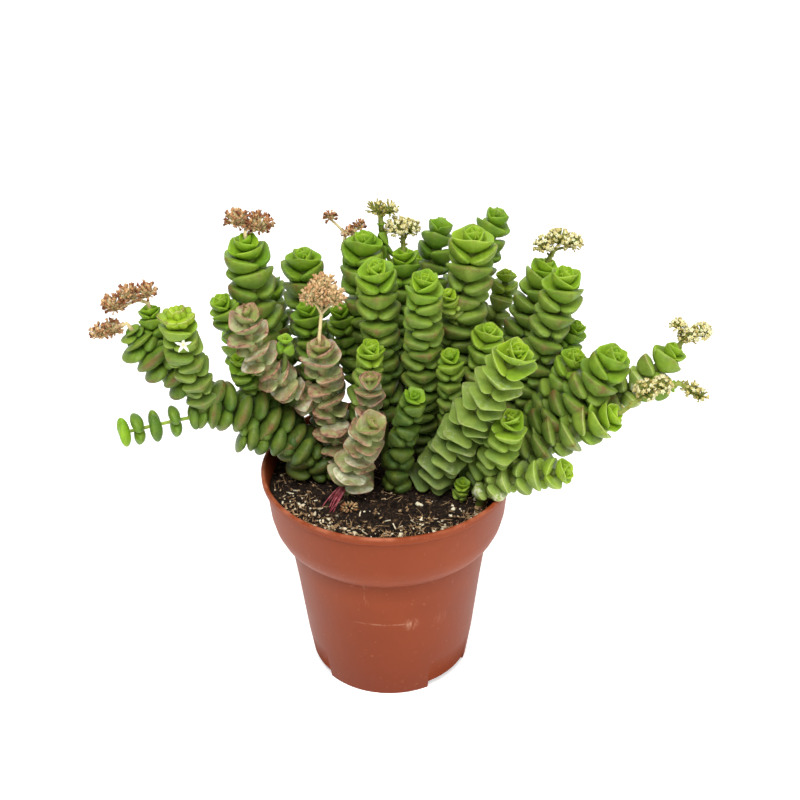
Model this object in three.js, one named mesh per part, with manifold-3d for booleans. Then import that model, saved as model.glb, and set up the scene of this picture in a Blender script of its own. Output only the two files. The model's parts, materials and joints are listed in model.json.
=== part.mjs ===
// A potted jade necklace crassula: a nursery pot of peat that holds three dozen leafy stems, each a column
// of fleshy leaf pairs, with flower heads on the oldest ones. Millimetres, +Z up, the origin in the middle
// of the pot's underside, -Y towards the viewer.
import * as THREE from 'three';
import { mergeVertices } from 'three/addons/utils/BufferGeometryUtils.js';
import Module from 'manifold-3d';

const wasm = await Module();
wasm.setup();

const TURN = Math.PI * 2;
const UP = new THREE.Vector3(0, 0, 1);
const WELD = 1e-4;
const radians = THREE.MathUtils.degToRad;

// The pot: outer radius and height up its side, then the rim, the thickness of the plastic and the notches
// that drain it.
const POT_HEIGHT = 110;
const POT_SIDES = 24;
const POT_WALL = 1.2;
const POT_FLOOR = 1.5;
const POT_BODY = [[38.5, 0], [41.3, 18], [45, 50], [48.3, 74]];
const POT_BAND = [[52.8, 78], [56.3, 88], [58, 105]];
const RIM_RADIUS = 60;
const RIM_BEAD = 2.2;
const RIM_ROUND = 0.7;
const NOTCH_HEIGHT = 4;
const NOTCH_DEPTH = 5;
const NOTCH_SPAN = radians(42);
const NOTCH_COUNT = 3;
const NOTCH_FIRST = radians(-41);
const NOTCH_STEPS = 4;

// The peat: its top is a low mound with shallow bumps, which meets the wall below the rim.
const FIT = 0.3;
const SOIL_EDGE_RADIUS = 56;
const SOIL_EDGE_HEIGHT = 100.5;
const SOIL_MOUND = 2.4;
const SOIL_RINGS = [40, 20];
const SOIL_BUMPS = [{ size: 0.5, x: 0.31, y: 0.27, from: 1.3 }, { size: 0.3, x: 0.83, y: -0.57, from: 0 }];

// A leaf pair: its outline between the leaf points, the waist below it, and how pairs change with age.
const LEAF_SIDE = 0.76;
const LEAF_POINT = 2.2;
const LEAF_SHOULDER = 0.17;
const SIDE_LIFT = 0.55;
const WAIST_SHARE = 0.52;
const WAIST_PLACE = 0.36;
const SLENDER_SHARE = 0.3;
const YOUNG_LIFT = 40;
const OLD_LIFT = 12;
const LIFT_FADE = 1.4;
const YOUNG_SIZE = 0.56;
const YOUNG_PITCH = 0.5;
const GROWTH = 0.18;
const FIRST_TURN = 40;
const DRIFT = 7;
const BUD_INSET = 3;
const BUD_RISE = 1.15;

// The stalk inside the leaves, and the sides that a stem is drawn with: its columns of corners shift by half
// a side from one pair to the next, so that one always meets a leaf point.
const FOOT_HEIGHT = 105;
const BURIED = 9;
const SOCKET_FIT = 0.35;
const STALK_SHARE = 0.2;
const STALK_LEAST = 1.4;
const STALK_TAPER = 0.8;
const SIDES = 6;
const SKEW = Math.PI / SIDES;
const ROUTE_STEP = 3;
const BARE_STEP = 14;

// How leaves give way to those of other stems, to the peat and to the rim.
const JUNCTION = 0.7;
const CROWD_MARGIN = 0.05;
const DRAW_STEP = 0.05;
const LEAST_SHARE = 0.3;
const STALK_GAP = 0.5;
const SOIL_GAP = 0.8;
const RIM_GAP = 1;
const RIM_REACH = 5;

// The flower heads.
const SEAT_RISE = 1.3;
const SEAT_RADIUS = 0.9;
const BEND_RISE = 1.2;
const NECK_RISE = 1.6;
const PEDICEL_RADIUS = 0.7;
const FORK = 0.6;
const FORK_OVERLAP = 0.9;
const ROD_SIDES = 3;
const ROD_SAMPLES = 5;
const FLORET_POINT = 1.12;
const FLORET_GAP = 0.8;

// The aerial roots and the pit that they end in.
const ROOT_COUNT = 5;
const ROOT_RADIUS = 0.55;
const ROOT_KNOT = 1.2;
const ROOT_HEIGHT = 4;
const ROOT_FAN = 2.5;
const ROOT_PIT = [-27, -23];
const PIT_RADIUS = 5;
const PIT_FLOOR = 100.8;
const PIT_SIDES = 8;

const TERRACOTTA = { color: 0xa8563f, roughness: 0.55 };
const PEAT = { color: 0x3a2a20, roughness: 0.95 };
const GREEN = { color: 0x4f7d2a, roughness: 0.5 };
const DRY = { color: 0x8f7f68, roughness: 0.6 };
const BROWN = { color: 0xa9805a, roughness: 0.9 };
const CREAM = { color: 0xb9b27e, roughness: 0.9 };
const RED = { color: 0x9c4a4c, roughness: 0.7 };

// foot: where the stem leaves the peat; tip: where it ends; rise: its slope at both ends, in degrees; leaf:
// how far its leaves reach; pitch: the distance between pairs; bare: the length that has shed its leaves. A
// branch leaves the stem named by on, at the share of its length given by at, and is one piece with it.
const STEMS = {
  front_leaning: { foot: [20, -8], tip: [56, -46, 197], rise: [62, 62], leaf: 12, pitch: 7.4, bare: 4 },
  front_sprout: { foot: [34, -21], tip: [35, -23, 115], rise: [80, 80], leaf: 4.5, pitch: 3, bare: 2 },
  front_short: { foot: [40, -9], tip: [55, -38, 159], rise: [50, 75], leaf: 9.5, pitch: 7.4, bare: 8 },
  front_over_rim: { foot: [42, -25], tip: [80, -42, 133], rise: [70, 25], leaf: 8.5, pitch: 7.4, bare: 10 },
  front_centre: { foot: [4, -12], tip: [13, -24, 162], rise: [85, 70], leaf: 8, pitch: 7.4, bare: 6 },
  dry_low: { foot: [-19, -14], tip: [-6, -34, 155], rise: [75, 65], leaf: 10.5, pitch: 7.4, bare: 9 },
  dry_middle: { foot: [-8, -6], tip: [-7, -19, 169], rise: [90, 75], leaf: 9.5, pitch: 7.4, bare: 26 },
  dry_flowering: { foot: [-22, -1], tip: [-29, -8, 180], rise: [84, 88], leaf: 11.5, pitch: 7.4, bare: 8 },
  dry_left: { foot: [-8, 14], tip: [-60, -14, 201], rise: [70, 100], leaf: 10.5, pitch: 7.4, bare: 40 },
  left_arch: { foot: [-36, 3], tip: [-86, -9, 149], rise: [80, 0], leaf: 11.5, pitch: 6.4, bare: 8 },
  left_low: { foot: [-29, -2], tip: [-69, -9, 134], rise: [85, 8], leaf: 9.5, pitch: 6.4, bare: 2 },
  left_tall: { foot: [-38, 20], tip: [-61, 14, 221], rise: [65, 88], leaf: 13, pitch: 8.4, bare: 20 },
  left_back: { foot: [-28, 34], tip: [-38, 42, 200], rise: [80, 89], leaf: 12, pitch: 8.4, bare: 38 },
  left_inner: { foot: [-26, 18], tip: [-36, 22, 184], rise: [85, 85], leaf: 9, pitch: 7.4, bare: 38 },
  middle_tall: { foot: [-12, 22], tip: [-9, 27, 215], rise: [88, 88], leaf: 12.5, pitch: 8.4, bare: 38 },
  middle_front: { foot: [-1, 8], tip: [-3, -2, 215], rise: [88, 80], leaf: 11.5, pitch: 7.4, bare: 26 },
  middle_short: { foot: [-12, 6], tip: [-6, -9, 179], rise: [85, 75], leaf: 9.5, pitch: 7.4, bare: 30 },
  centre_tall: { foot: [16, 4], tip: [18, -12, 214], rise: [85, 80], leaf: 10, pitch: 7.4, bare: 12 },
  centre_inner: { foot: [8, 26], tip: [9, 32, 205], rise: [89, 85], leaf: 9.5, pitch: 8.4, bare: 38 },
  centre_back: { foot: [18, 34], tip: [27, 48, 213], rise: [88, 64], leaf: 11, pitch: 8.4, bare: 38 },
  right_back_tall: { foot: [30, 28], tip: [53, 38, 222], rise: [88, 66], leaf: 10.5, pitch: 8.4, bare: 38 },
  right_thick: { foot: [32, 15], tip: [40, 10, 224], rise: [88, 82], leaf: 12.5, pitch: 8.4, bare: 20 },
  right_small: { foot: [30, 0], tip: [29, -13, 177], rise: [88, 80], leaf: 7, pitch: 5.5, bare: 12 },
  right_inner: { foot: [39, 4], tip: [47, -2, 183], rise: [88, 80], leaf: 9.5, pitch: 7.4, bare: 16 },
  right_back_small: { foot: [30, 39], tip: [58, 46, 187], rise: [75, 85], leaf: 7, pitch: 7.4, bare: 38 },
  right_flowering: { foot: [43, 24], tip: [75, 28, 200], rise: [70, 72], leaf: 10.5, pitch: 7.4, bare: 18 },
  right_outer: { foot: [48, 14], tip: [81, 4, 207], rise: [60, 80], leaf: 11, pitch: 7.4, bare: 14 },
  right_middle: { foot: [49, 4], tip: [86, -8, 172], rise: [60, 70], leaf: 9.5, pitch: 7.4, bare: 16 },
  right_forked: { foot: [49, -6], tip: [102, -18, 178], rise: [60, 65], leaf: 11.5, pitch: 7.4, bare: 12 },
  right_low: { foot: [47, -16], tip: [102, -26, 152], rise: [68, 30], leaf: 11.5, pitch: 7.4, bare: 12 },
  back_left: { foot: [-40, 30], tip: [-58, 58, 180], rise: [60, 80], leaf: 11, pitch: 9, bare: 14 },
  back_far_left: { foot: [-46, 19], tip: [-72, 36, 163], rise: [65, 75], leaf: 10.5, pitch: 9, bare: 14 },
  back_inner_left: { foot: [-11, 46], tip: [-8, 80, 180], rise: [60, 80], leaf: 11, pitch: 9, bare: 14 },
  back_middle: { foot: [8, 45], tip: [16, 75, 182], rise: [65, 80], leaf: 11, pitch: 9, bare: 14 },
  back_inner_right: { foot: [20, 46], tip: [40, 82, 178], rise: [60, 80], leaf: 11, pitch: 9, bare: 14 },
  back_right: { foot: [40, 33], tip: [84, 50, 170], rise: [65, 70], leaf: 10.5, pitch: 9, bare: 14 },
};
const BRANCHES = {
  dry_left_shoot: {
    on: 'dry_left', at: 0.62, tip: [-44, -12, 186], rise: [50, 85], leaf: 4.5, pitch: 6, bare: 16,
  },
  left_forked: {
    on: 'left_arch', at: 0.88, tip: [-112, -8, 189], rise: [52, 62], leaf: 11, pitch: 7.4, bare: 4,
  },
  left_thin: {
    on: 'left_arch', at: 0.72, tip: [-121, -20, 142], rise: [5, -5], leaf: 7.5, pitch: 9, bare: 12,
    slender: true,
  },
  left_crown: {
    on: 'left_forked', at: 0.66, tip: [-104, -4, 197], rise: [80, 85], leaf: 7.5, pitch: 6.5, bare: 4,
  },
  left_lobed: {
    on: 'left_arch', at: 0.94, tip: [-89, -22, 202], rise: [70, 88], leaf: 9.5, pitch: 6.5, bare: 6,
  },
  left_tall_side: {
    on: 'left_tall', at: 0.45, tip: [-73, 4, 197], rise: [60, 80], leaf: 8.5, pitch: 6, bare: 6,
  },
  left_tall_low: {
    on: 'left_tall', at: 0.25, tip: [-66, -3, 171], rise: [30, 80], leaf: 7, pitch: 6, bare: 6,
  },
  middle_side: {
    on: 'middle_tall', at: 0.35, tip: [-21, 21, 183], rise: [60, 80], leaf: 8, pitch: 6, bare: 6,
  },
  right_thick_side: {
    on: 'right_thick', at: 0.6, tip: [29, 4, 199], rise: [70, 85], leaf: 6, pitch: 5.5, bare: 6,
  },
  right_outer_side: {
    on: 'right_outer', at: 0.4, tip: [88, 10, 178], rise: [45, 75], leaf: 7.5, pitch: 5.5, bare: 6,
  },
  right_reach: {
    on: 'right_forked', at: 0.45, tip: [131, -6, 174], rise: [15, 55], leaf: 9, pitch: 7.4, bare: 14,
  },
  right_reach_low: {
    on: 'right_reach', at: 0.4, tip: [130, -14, 160], rise: [0, 20], leaf: 5, pitch: 7.4, bare: 14,
  },
  middle_spray: {
    on: 'middle_tall', at: 0.8, tip: [-18, 35, 207], rise: [35, 85], leaf: 3, pitch: 7.4, bare: 12,
  },
  centre_stalk: {
    on: 'centre_inner', at: 0.85, tip: [-1, 32, 221], rise: [50, 88], leaf: 3, pitch: 8.4, bare: 14,
  },
};

// The flower heads by the stem that carries them: each ball of florets has its place and its radius. Those in
// FADED have dried to brown.
const HEADS = {
  left_forked: [[-120, -9, 190, 4.4], [-126, -10, 188.5, 4]],
  left_crown: [[-119, -6, 200, 4.8], [-112, -5, 205, 4.6], [-104, -5, 206, 4.4]],
  left_tall: [[-65, 18, 229.5, 5], [-55, 18, 227, 5.6]],
  dry_flowering: [[-31, -6, 203, 5.4], [-22, -6, 202, 5], [-27, 0, 205, 5.4]],
  middle_spray: [[-24, 36, 222, 2.8], [-16, 36, 214, 3], [-11, 36, 217, 2.6]],
  centre_stalk: [[-3, 32, 227.5, 4.2], [3, 32, 227, 4]],
  centre_inner: [[6, 32, 218, 5], [12, 32, 217.5, 4.8]],
  right_flowering: [[73, 26, 211, 4.6], [80, 27, 213.5, 5], [86, 26, 212, 4.4]],
  right_low: [[115, -27, 165, 5], [122, -26, 166.5, 4.8]],
  right_reach: [[131, -6, 186, 3.4], [136, -7, 181, 4.4], [142, -6, 182.5, 4.4]],
  right_reach_low: [[138, -14, 157, 4], [142, -14, 154, 3.4]],
};
const FADED = ['left_forked', 'left_crown', 'left_tall', 'dry_flowering', 'middle_spray'];

const shapeOf = (geometry) => {
  const bare = geometry.clone();
  bare.deleteAttribute('normal');
  bare.deleteAttribute('uv');
  const merged = mergeVertices(bare, WELD);
  const corners = [...merged.index.array];
  const kept = [];
  for (let i = 0; i < corners.length; i += 3) {
    const [a, b, c] = corners.slice(i, i + 3);
    if (a !== b && b !== c && c !== a) kept.push(a, b, c);
  }
  merged.setIndex(kept);
  return merged;
};

const solid = (geometry) => {
  const shape = shapeOf(geometry);
  const vertProperties = new Float32Array(shape.attributes.position.array);
  const triVerts = new Uint32Array(shape.index.array);
  return new wasm.Manifold(new wasm.Mesh({ numProp: 3, vertProperties, triVerts }));
};

const geometryOf = (body) => {
  const mesh = body.getMesh();
  const geometry = new THREE.BufferGeometry();
  geometry.setAttribute('position', new THREE.BufferAttribute(mesh.vertProperties.slice(), 3));
  geometry.setIndex([...mesh.triVerts]);
  return geometry;
};

const plant = new THREE.Group();

const place = (name, geometry, look) => {
  const mesh = new THREE.Mesh(geometry, new THREE.MeshStandardMaterial(look));
  mesh.name = name;
  plant.add(mesh);
};

// Lathes turn about Y, so a turned piece is tipped up onto Z.
const turned = (profile, sides) => {
  const points = profile.map(([radius, height]) => new THREE.Vector2(radius, height));
  return new THREE.LatheGeometry(points, sides).rotateX(Math.PI / 2);
};

const placesOf = ({ attributes }) => Array.from({ length: attributes.position.count }, (_, i) => {
  return new THREE.Vector3().fromBufferAttribute(attributes.position, i);
});

// A profile moved inwards, as the pot's inner face follows its outer one at the thickness of the plastic.
const inset = (points, by) => points.map(([radius, height]) => [radius - by, height]);

function pot() {
  const outer = [...POT_BODY, ...POT_BAND];
  const bead = [
    [RIM_RADIUS, POT_HEIGHT - RIM_BEAD],
    [RIM_RADIUS, POT_HEIGHT - RIM_ROUND],
    [RIM_RADIUS - RIM_ROUND, POT_HEIGHT],
    [RIM_RADIUS - RIM_BEAD + RIM_ROUND, POT_HEIGHT],
  ];
  const inner = inset(outer.slice(1), POT_WALL).reverse();
  const floor = [[POT_BODY[0][0] - POT_WALL, POT_FLOOR], [0, POT_FLOOR]];
  let body = solid(turned([[0, 0], ...outer, ...bead, ...inner, ...floor], POT_SIDES));
  for (let i = 0; i < NOTCH_COUNT; i += 1) {
    body = body.subtract(solid(notch(NOTCH_FIRST + (i * TURN) / NOTCH_COUNT)));
  }
  return geometryOf(body);
}

// A drainage notch is a short sector taken out of the corner between floor and wall.
function notch(middle) {
  const near = POT_BODY[0][0] - NOTCH_DEPTH;
  const far = POT_BODY[0][0] + NOTCH_DEPTH;
  const sector = new THREE.Shape();
  sector.absarc(0, 0, far, middle - NOTCH_SPAN / 2, middle + NOTCH_SPAN / 2, false);
  sector.absarc(0, 0, near, middle + NOTCH_SPAN / 2, middle - NOTCH_SPAN / 2, true);
  const options = { depth: NOTCH_HEIGHT * 2, bevelEnabled: false, curveSegments: NOTCH_STEPS };
  return new THREE.ExtrudeGeometry(sector, options).translate(0, 0, -NOTCH_HEIGHT);
}

// The mound's height at a place.
const soilTop = (x, y) => {
  const out = Math.min(1, Math.hypot(x, y) / SOIL_EDGE_RADIUS);
  const bumps = SOIL_BUMPS.map((bump) => bump.size * Math.sin(bump.x * x + bump.y * y + bump.from));
  return SOIL_EDGE_HEIGHT + SOIL_MOUND * (1 - out ** 4) + bumps.reduce((sum, bump) => sum + bump);
};

// The peat fills the pot up to the mound and leaves the fit free all round.
function soil(holes) {
  const bottom = [POT_BODY[0][0], POT_FLOOR + FIT];
  const wall = inset([bottom, POT_BODY.at(-1), POT_BAND[0], POT_BAND[1]], POT_WALL + FIT);
  const top = [SOIL_EDGE_RADIUS, ...SOIL_RINGS, 0].map((radius) => [radius, SOIL_EDGE_HEIGHT]);
  const geometry = turned([[0, bottom[1]], ...wall, ...top], POT_SIDES);
  const spots = geometry.attributes.position;
  for (let i = 0; i < spots.count; i += 1) {
    const onTop = Math.abs(spots.getZ(i) - SOIL_EDGE_HEIGHT) < WELD;
    if (onTop) spots.setZ(i, soilTop(spots.getX(i), spots.getY(i)));
  }
  let body = solid(geometry);
  for (const hole of holes) body = body.subtract(solid(hole));
  return geometryOf(body);
}

// A stem's route is one smooth curve in an upright plane: it leaves the peat at its first slope and ends at
// its second. Its clear points are those that have left the stem it grows from.
function routeOf(stem, routes) {
  const parent = routes[stem.on];
  const tip = new THREE.Vector3(...stem.tip);
  const start = parent ? parent.curve.getPointAt(stem.at) : new THREE.Vector3(...stem.foot, FOOT_HEIGHT);
  const chord = tip.clone().sub(start);
  const ahead = new THREE.Vector3(chord.x, chord.y, 0).normalize();
  const third = chord.length() / 3;
  const slope = (degrees) => ahead.clone().multiplyScalar(third * Math.cos(radians(degrees)))
    .addScaledVector(UP, third * Math.sin(radians(degrees)));
  const leave = start.clone().add(slope(stem.rise[0]));
  const arrive = tip.clone().sub(slope(stem.rise[1]));
  const curve = new THREE.CubicBezierCurve3(start, leave, arrive, tip);
  const length = curve.getLength();
  const points = curve.getSpacedPoints(Math.ceil(length / ROUTE_STEP));
  const clear = points.filter((point) => !parent || isClear(point, parent));
  return { stem, curve, ahead, points, clear, length, side: UP.clone().cross(ahead) };
}

const nearest = (spot, points) => {
  const squares = points.map((point) => point.distanceToSquared(spot));
  return Math.sqrt(Math.min(...squares));
};
const isClear = (point, parent) => nearest(point, parent.points) > parent.stem.leaf * JUNCTION;

// The frame at a distance along a route. Below its foot a stem goes straight down.
function frameAt(route, distance) {
  const along = Math.min(1, Math.max(0, distance / route.length));
  const centre = route.curve.getPointAt(along);
  const heading = route.stem.foot && distance <= 0 ? UP.clone() : route.curve.getTangentAt(along);
  centre.addScaledVector(heading, distance - along * route.length);
  return { centre, heading, out: route.side.clone().cross(heading), side: route.side };
}

const stalkRadius = (stem) => Math.max(STALK_LEAST, stem.leaf * STALK_SHARE);

// Leaf pairs are counted down from the tip: they grow, spread and stand further apart with age.
function leafPairs({ stem, length }) {
  const pairs = [];
  let down = BUD_INSET;
  for (let age = 0; down < length - stem.bare; age += 1) {
    const reach = stem.leaf * Math.min(1, YOUNG_SIZE + GROWTH * age);
    const lift = radians(OLD_LIFT + YOUNG_LIFT * Math.exp(-age / LIFT_FADE));
    pairs.unshift({ at: length - down, reach, lift });
    down += stem.pitch * Math.min(1, YOUNG_PITCH + GROWTH * age);
  }
  return pairs;
}

// The rings of a stem from its base to its bud. An edge ring runs round the rim of a leaf pair, and a round
// waist lies between two pairs, apart from the youngest. A slender stem shows its stalk there. A flowering
// stem ends in a flat seat for the flower stalk.
function ringsOf(route) {
  const { stem } = route;
  const pairs = leafPairs(route);
  const stalk = stalkRadius(stem);
  const rings = [];
  const round = (at, radius, order = 0) => rings.push({ at, radius, order });
  if (stem.foot) round(-BURIED, 0);
  if (stem.foot) round(-BURIED, stalk);
  if (!stem.foot) round(0, 0);
  round(0, stalk);
  const leafless = pairs[0].at - stem.pitch / 2;
  const steps = Math.floor(leafless / BARE_STEP);
  for (let i = 1; i < steps; i += 1) round((leafless * i) / steps, stalk);
  round(leafless, stalk);
  const top = pairs.at(-1);
  pairs.forEach((pair, order) => {
    const last = pair !== top && pairs[order - 1];
    const between = last && last.at + (pair.at - last.at) * WAIST_PLACE;
    const waist = Math.max(stalk * STALK_TAPER, pair.reach * WAIST_SHARE);
    if (last && !stem.slender) round(between, waist, order - 0.5);
    if (stem.slender) round(pair.at - pair.reach * SLENDER_SHARE, stalk, order);
    rings.push({ ...pair, order });
    if (stem.slender) round(pair.at + pair.reach * SLENDER_SHARE, stalk * STALK_TAPER, order);
  });
  const bud = top.reach * Math.sin(top.lift);
  if (stem.flowers) round(top.at + bud * SEAT_RISE, SEAT_RADIUS, pairs.length - 1);
  round(top.at + bud * (stem.flowers ? SEAT_RISE : BUD_RISE), 0, pairs.length - 1);
  return rings;
}

// Where a ring's point lies before its neighbours press on it. A pair has its two leaf points at 0 and 180
// degrees, and each pair stands square across the one below it.
function ringPoint(route, ring, column) {
  const frame = frameAt(route, ring.at);
  const across = ring.reach ? ring.order % 2 : 0.5;
  const turn = radians(FIRST_TURN + DRIFT * ring.order);
  let angle = (column * TURN) / SIDES + across * SKEW;
  let { radius } = ring;
  let raise = 0;
  if (ring.reach) {
    const fromPoint = angle - across * radians(90);
    const drawn = fromPoint - LEAF_SHOULDER * Math.sin(2 * fromPoint);
    const point = Math.abs(Math.cos(drawn));
    angle = drawn + across * radians(90);
    radius = ring.reach * (LEAF_SIDE + (1 - LEAF_SIDE) * point ** LEAF_POINT) * Math.cos(ring.lift);
    raise = ring.reach * Math.sin(ring.lift) * (SIDE_LIFT + (1 - SIDE_LIFT) * point);
  }
  const spot = frame.centre.clone().addScaledVector(frame.heading, raise);
  spot.addScaledVector(frame.out, radius * Math.cos(angle + turn));
  spot.addScaledVector(frame.side, radius * Math.sin(angle + turn));
  return { spot, centre: frame.centre };
}

// A spot is free while it lies nearer, for the reach of its leaves, to its own stem than to any other, and
// clear of the flowers and roots.
function isFree(spot, route, others, bodies) {
  const mine = nearest(spot, route.points) / route.stem.leaf;
  return bodies.every(({ points, radius }) => nearest(spot, points) > radius + STALK_GAP)
    && others.every(({ stem, clear }) => {
      const theirs = nearest(spot, clear);
      return theirs > stalkRadius(stem) + STALK_GAP && theirs / stem.leaf > mine + CROWD_MARGIN;
    });
}

// Leaves press against those of other stems: a point that would cross over is drawn in towards its own stem.
function drawnIn(spot, centre, ...neighbours) {
  const at = (share) => centre.clone().lerp(spot, share);
  let share = 1;
  while (share > LEAST_SHARE && !isFree(at(share), ...neighbours)) share -= DRAW_STEP;
  return at(share);
}

// Stems and leaves lie over the peat and the rim, never in them.
function lifted(spot) {
  const out = Math.hypot(spot.x, spot.y);
  const overRim = out > SOIL_EDGE_RADIUS - RIM_REACH && out < RIM_RADIUS + RIM_REACH;
  if (overRim) spot.z = Math.max(spot.z, POT_HEIGHT + RIM_GAP);
  else if (out < RIM_RADIUS) spot.z = Math.max(spot.z, soilTop(spot.x, spot.y) + SOIL_GAP);
  return spot;
}

// A stem is a turned spool of rings, whose points are then moved to their places along the route.
function leafyStem(route, others, bodies) {
  const rings = ringsOf(route);
  const spool = rings.map((ring) => new THREE.Vector2(ring.radius === 0 ? 0 : 1, ring.at));
  const geometry = new THREE.LatheGeometry(spool, SIDES);
  const spots = geometry.attributes.position;
  for (let i = 0; i < spots.count; i += 1) {
    const ring = rings[i % rings.length];
    let { spot, centre } = ringPoint(route, ring, Math.floor(i / rings.length) % SIDES);
    if (ring.reach || ring.order) spot = drawnIn(spot, centre, route, others, bodies);
    if (ring.at > 0) spot = lifted(spot);
    spots.setXYZ(i, spot.x, spot.y, spot.z);
  }
  return geometry;
}

// The plain hole that a stem stands in.
function socket(route) {
  const radius = stalkRadius(route.stem) + SOCKET_FIT / Math.cos(SKEW);
  const hole = new THREE.CylinderGeometry(radius, radius, BURIED * 2, SIDES).rotateX(Math.PI / 2);
  const turn = Math.atan2(route.ahead.y, route.ahead.x) + radians(FIRST_TURN) + SKEW / 2;
  return hole.rotateZ(turn).translate(...route.stem.foot, FOOT_HEIGHT - FIT);
}

// A straight rod between two places, for flower stalks and roots.
function rod(from, to, radius) {
  const reach = to.clone().sub(from);
  const geometry = new THREE.CylinderGeometry(radius, radius, reach.length(), ROD_SIDES);
  geometry.translate(0, reach.length() / 2, 0);
  const turn = new THREE.Quaternion().setFromUnitVectors(new THREE.Vector3(0, 1, 0), reach.normalize());
  geometry.applyQuaternion(turn);
  return solid(geometry.translate(...from));
}

// A ball of florets: the corners of a faceted ball stand out, each as a floret, and the rest of it lies deep
// between them.
function florets([x, y, z, radius]) {
  const corners = placesOf(new THREE.IcosahedronGeometry(radius));
  const geometry = new THREE.IcosahedronGeometry(radius, 1);
  const spots = geometry.attributes.position;
  placesOf(geometry).forEach((spot, i) => {
    const isFloret = corners.some((corner) => corner.distanceTo(spot) < FIT);
    spot.multiplyScalar(isFloret ? FLORET_POINT : FLORET_GAP);
    spots.setXYZ(i, spot.x, spot.y, spot.z);
  });
  return solid(geometry.rotateZ(x).translate(x, y, z));
}

const centreOf = (places) => {
  const sum = places.reduce((total, [x, y, z]) => total.add(new THREE.Vector3(x, y, z)), new THREE.Vector3());
  return sum.divideScalar(places.length);
};

// A flower head stands on the seat at the end of its stem: a stalk that forks to one ball of florets or more.
// Each of its rods is a pair of places.
function headRods(route, balls) {
  const { centre: foot, heading } = frameAt(route, ringsOf(route).at(-1).at + FIT);
  const [bend, neck] = [BEND_RISE, NECK_RISE].map((rise) => foot.clone().addScaledVector(heading, rise));
  const fork = neck.clone().lerp(centreOf(balls), FORK);
  const inFork = neck.clone().lerp(fork, FORK_OVERLAP);
  return [[foot, neck], [bend, fork], ...balls.map(([x, y, z]) => [inFork, new THREE.Vector3(x, y, z)])];
}

function flowerHead(route, balls) {
  const rods = headRods(route, balls).map(([from, to], i) => {
    return rod(from, to, i > 1 ? PEDICEL_RADIUS : SEAT_RADIUS);
  });
  return geometryOf([...rods, ...balls.map(florets)].reduce((whole, piece) => whole.add(piece)));
}

// The red aerial roots: strands that leave the low dry stem together and fan out into a shallow pit in the
// peat.
function rootStrands(route) {
  const { centre } = frameAt(route, ROOT_HEIGHT);
  const pit = new THREE.Vector3(...ROOT_PIT, PIT_FLOOR + ROOT_RADIUS);
  const towards = new THREE.Vector3(pit.x - centre.x, pit.y - centre.y, 0).normalize();
  const knot = centre.clone().addScaledVector(towards, stalkRadius(route.stem) + FIT + ROOT_KNOT);
  const strands = [];
  for (let i = 0; i < ROOT_COUNT; i += 1) {
    const angle = (i * TURN) / ROOT_COUNT;
    const fan = new THREE.Vector3(Math.cos(angle), Math.sin(angle), 0).multiplyScalar(ROOT_FAN);
    const end = pit.clone().add(fan).addScaledVector(UP, FIT);
    strands.push([knot, end]);
  }
  return strands;
}

// Every stem and branch has its route before any leaf is drawn, since leaves give way to one another.
const routes = {};
for (const [name, stem] of Object.entries({ ...STEMS, ...BRANCHES })) {
  routes[name] = routeOf({ ...stem, flowers: name in HEADS }, routes);
}
const strands = rootStrands(routes.dry_low);

// The flowers and roots that leaves keep clear of, each as places along it and a radius.
const bodies = [];
const along = ([from, to], radius) => {
  const shares = Array.from({ length: ROD_SAMPLES + 1 }, (_, i) => i / ROD_SAMPLES);
  bodies.push({ points: shares.map((share) => from.clone().lerp(to, share)), radius });
};
strands.forEach((strand) => along(strand, ROOT_KNOT));
for (const [name, balls] of Object.entries(HEADS)) {
  headRods(routes[name], balls).forEach((stalk) => along(stalk, SEAT_RADIUS));
  for (const [x, y, z, radius] of balls) {
    bodies.push({ points: [new THREE.Vector3(x, y, z)], radius: radius * FLORET_POINT });
  }
}

place('pot', pot(), TERRACOTTA);

const pit = new THREE.CylinderGeometry(PIT_RADIUS, PIT_RADIUS, BURIED, PIT_SIDES).rotateX(Math.PI / 2);
const holes = [pit.translate(...ROOT_PIT, PIT_FLOOR + BURIED / 2)];
for (const name of Object.keys(STEMS)) holes.push(socket(routes[name]));
place('soil', soil(holes), PEAT);

// A stem is one piece with the branches that grow from it, and with theirs.
const footOf = (name) => (routes[name].stem.on ? footOf(routes[name].stem.on) : name);
for (const name of Object.keys(STEMS)) {
  const grown = Object.keys(routes).filter((other) => footOf(other) === name);
  const shapes = grown.map((part) => {
    const others = Object.keys(routes).filter((other) => other !== part);
    return solid(leafyStem(routes[part], others.map((other) => routes[other]), bodies));
  });
  const whole = shapes.reduce((sum, shape) => sum.add(shape));
  place(`stem_${name}`, geometryOf(whole), name.startsWith('dry') ? DRY : GREEN);
}

for (const [name, balls] of Object.entries(HEADS)) {
  place(`flowers_${name}`, flowerHead(routes[name], balls), FADED.includes(name) ? BROWN : CREAM);
}

const knot = new THREE.OctahedronGeometry(ROOT_KNOT, 1).translate(...strands[0][0]);
const bundle = strands.reduce((whole, [from, to]) => whole.add(rod(from, to, ROOT_RADIUS)), solid(knot));
place('aerial_roots', geometryOf(bundle), RED);

export default plant;
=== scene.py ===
# %% [markdown]
# A potted jade necklace crassula. Three dozen stems grow from one pot of peat. Each is a stack of fleshy
# leaf pairs, and each pair stands square across the one below it. The solids of the frame hold the true
# sizes and places. This script gives every one of them its fine shape and its finish.

import json
import math
import random

import bmesh
import bpy
import numpy as np
from mathutils import Matrix, Vector, noise

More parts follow.
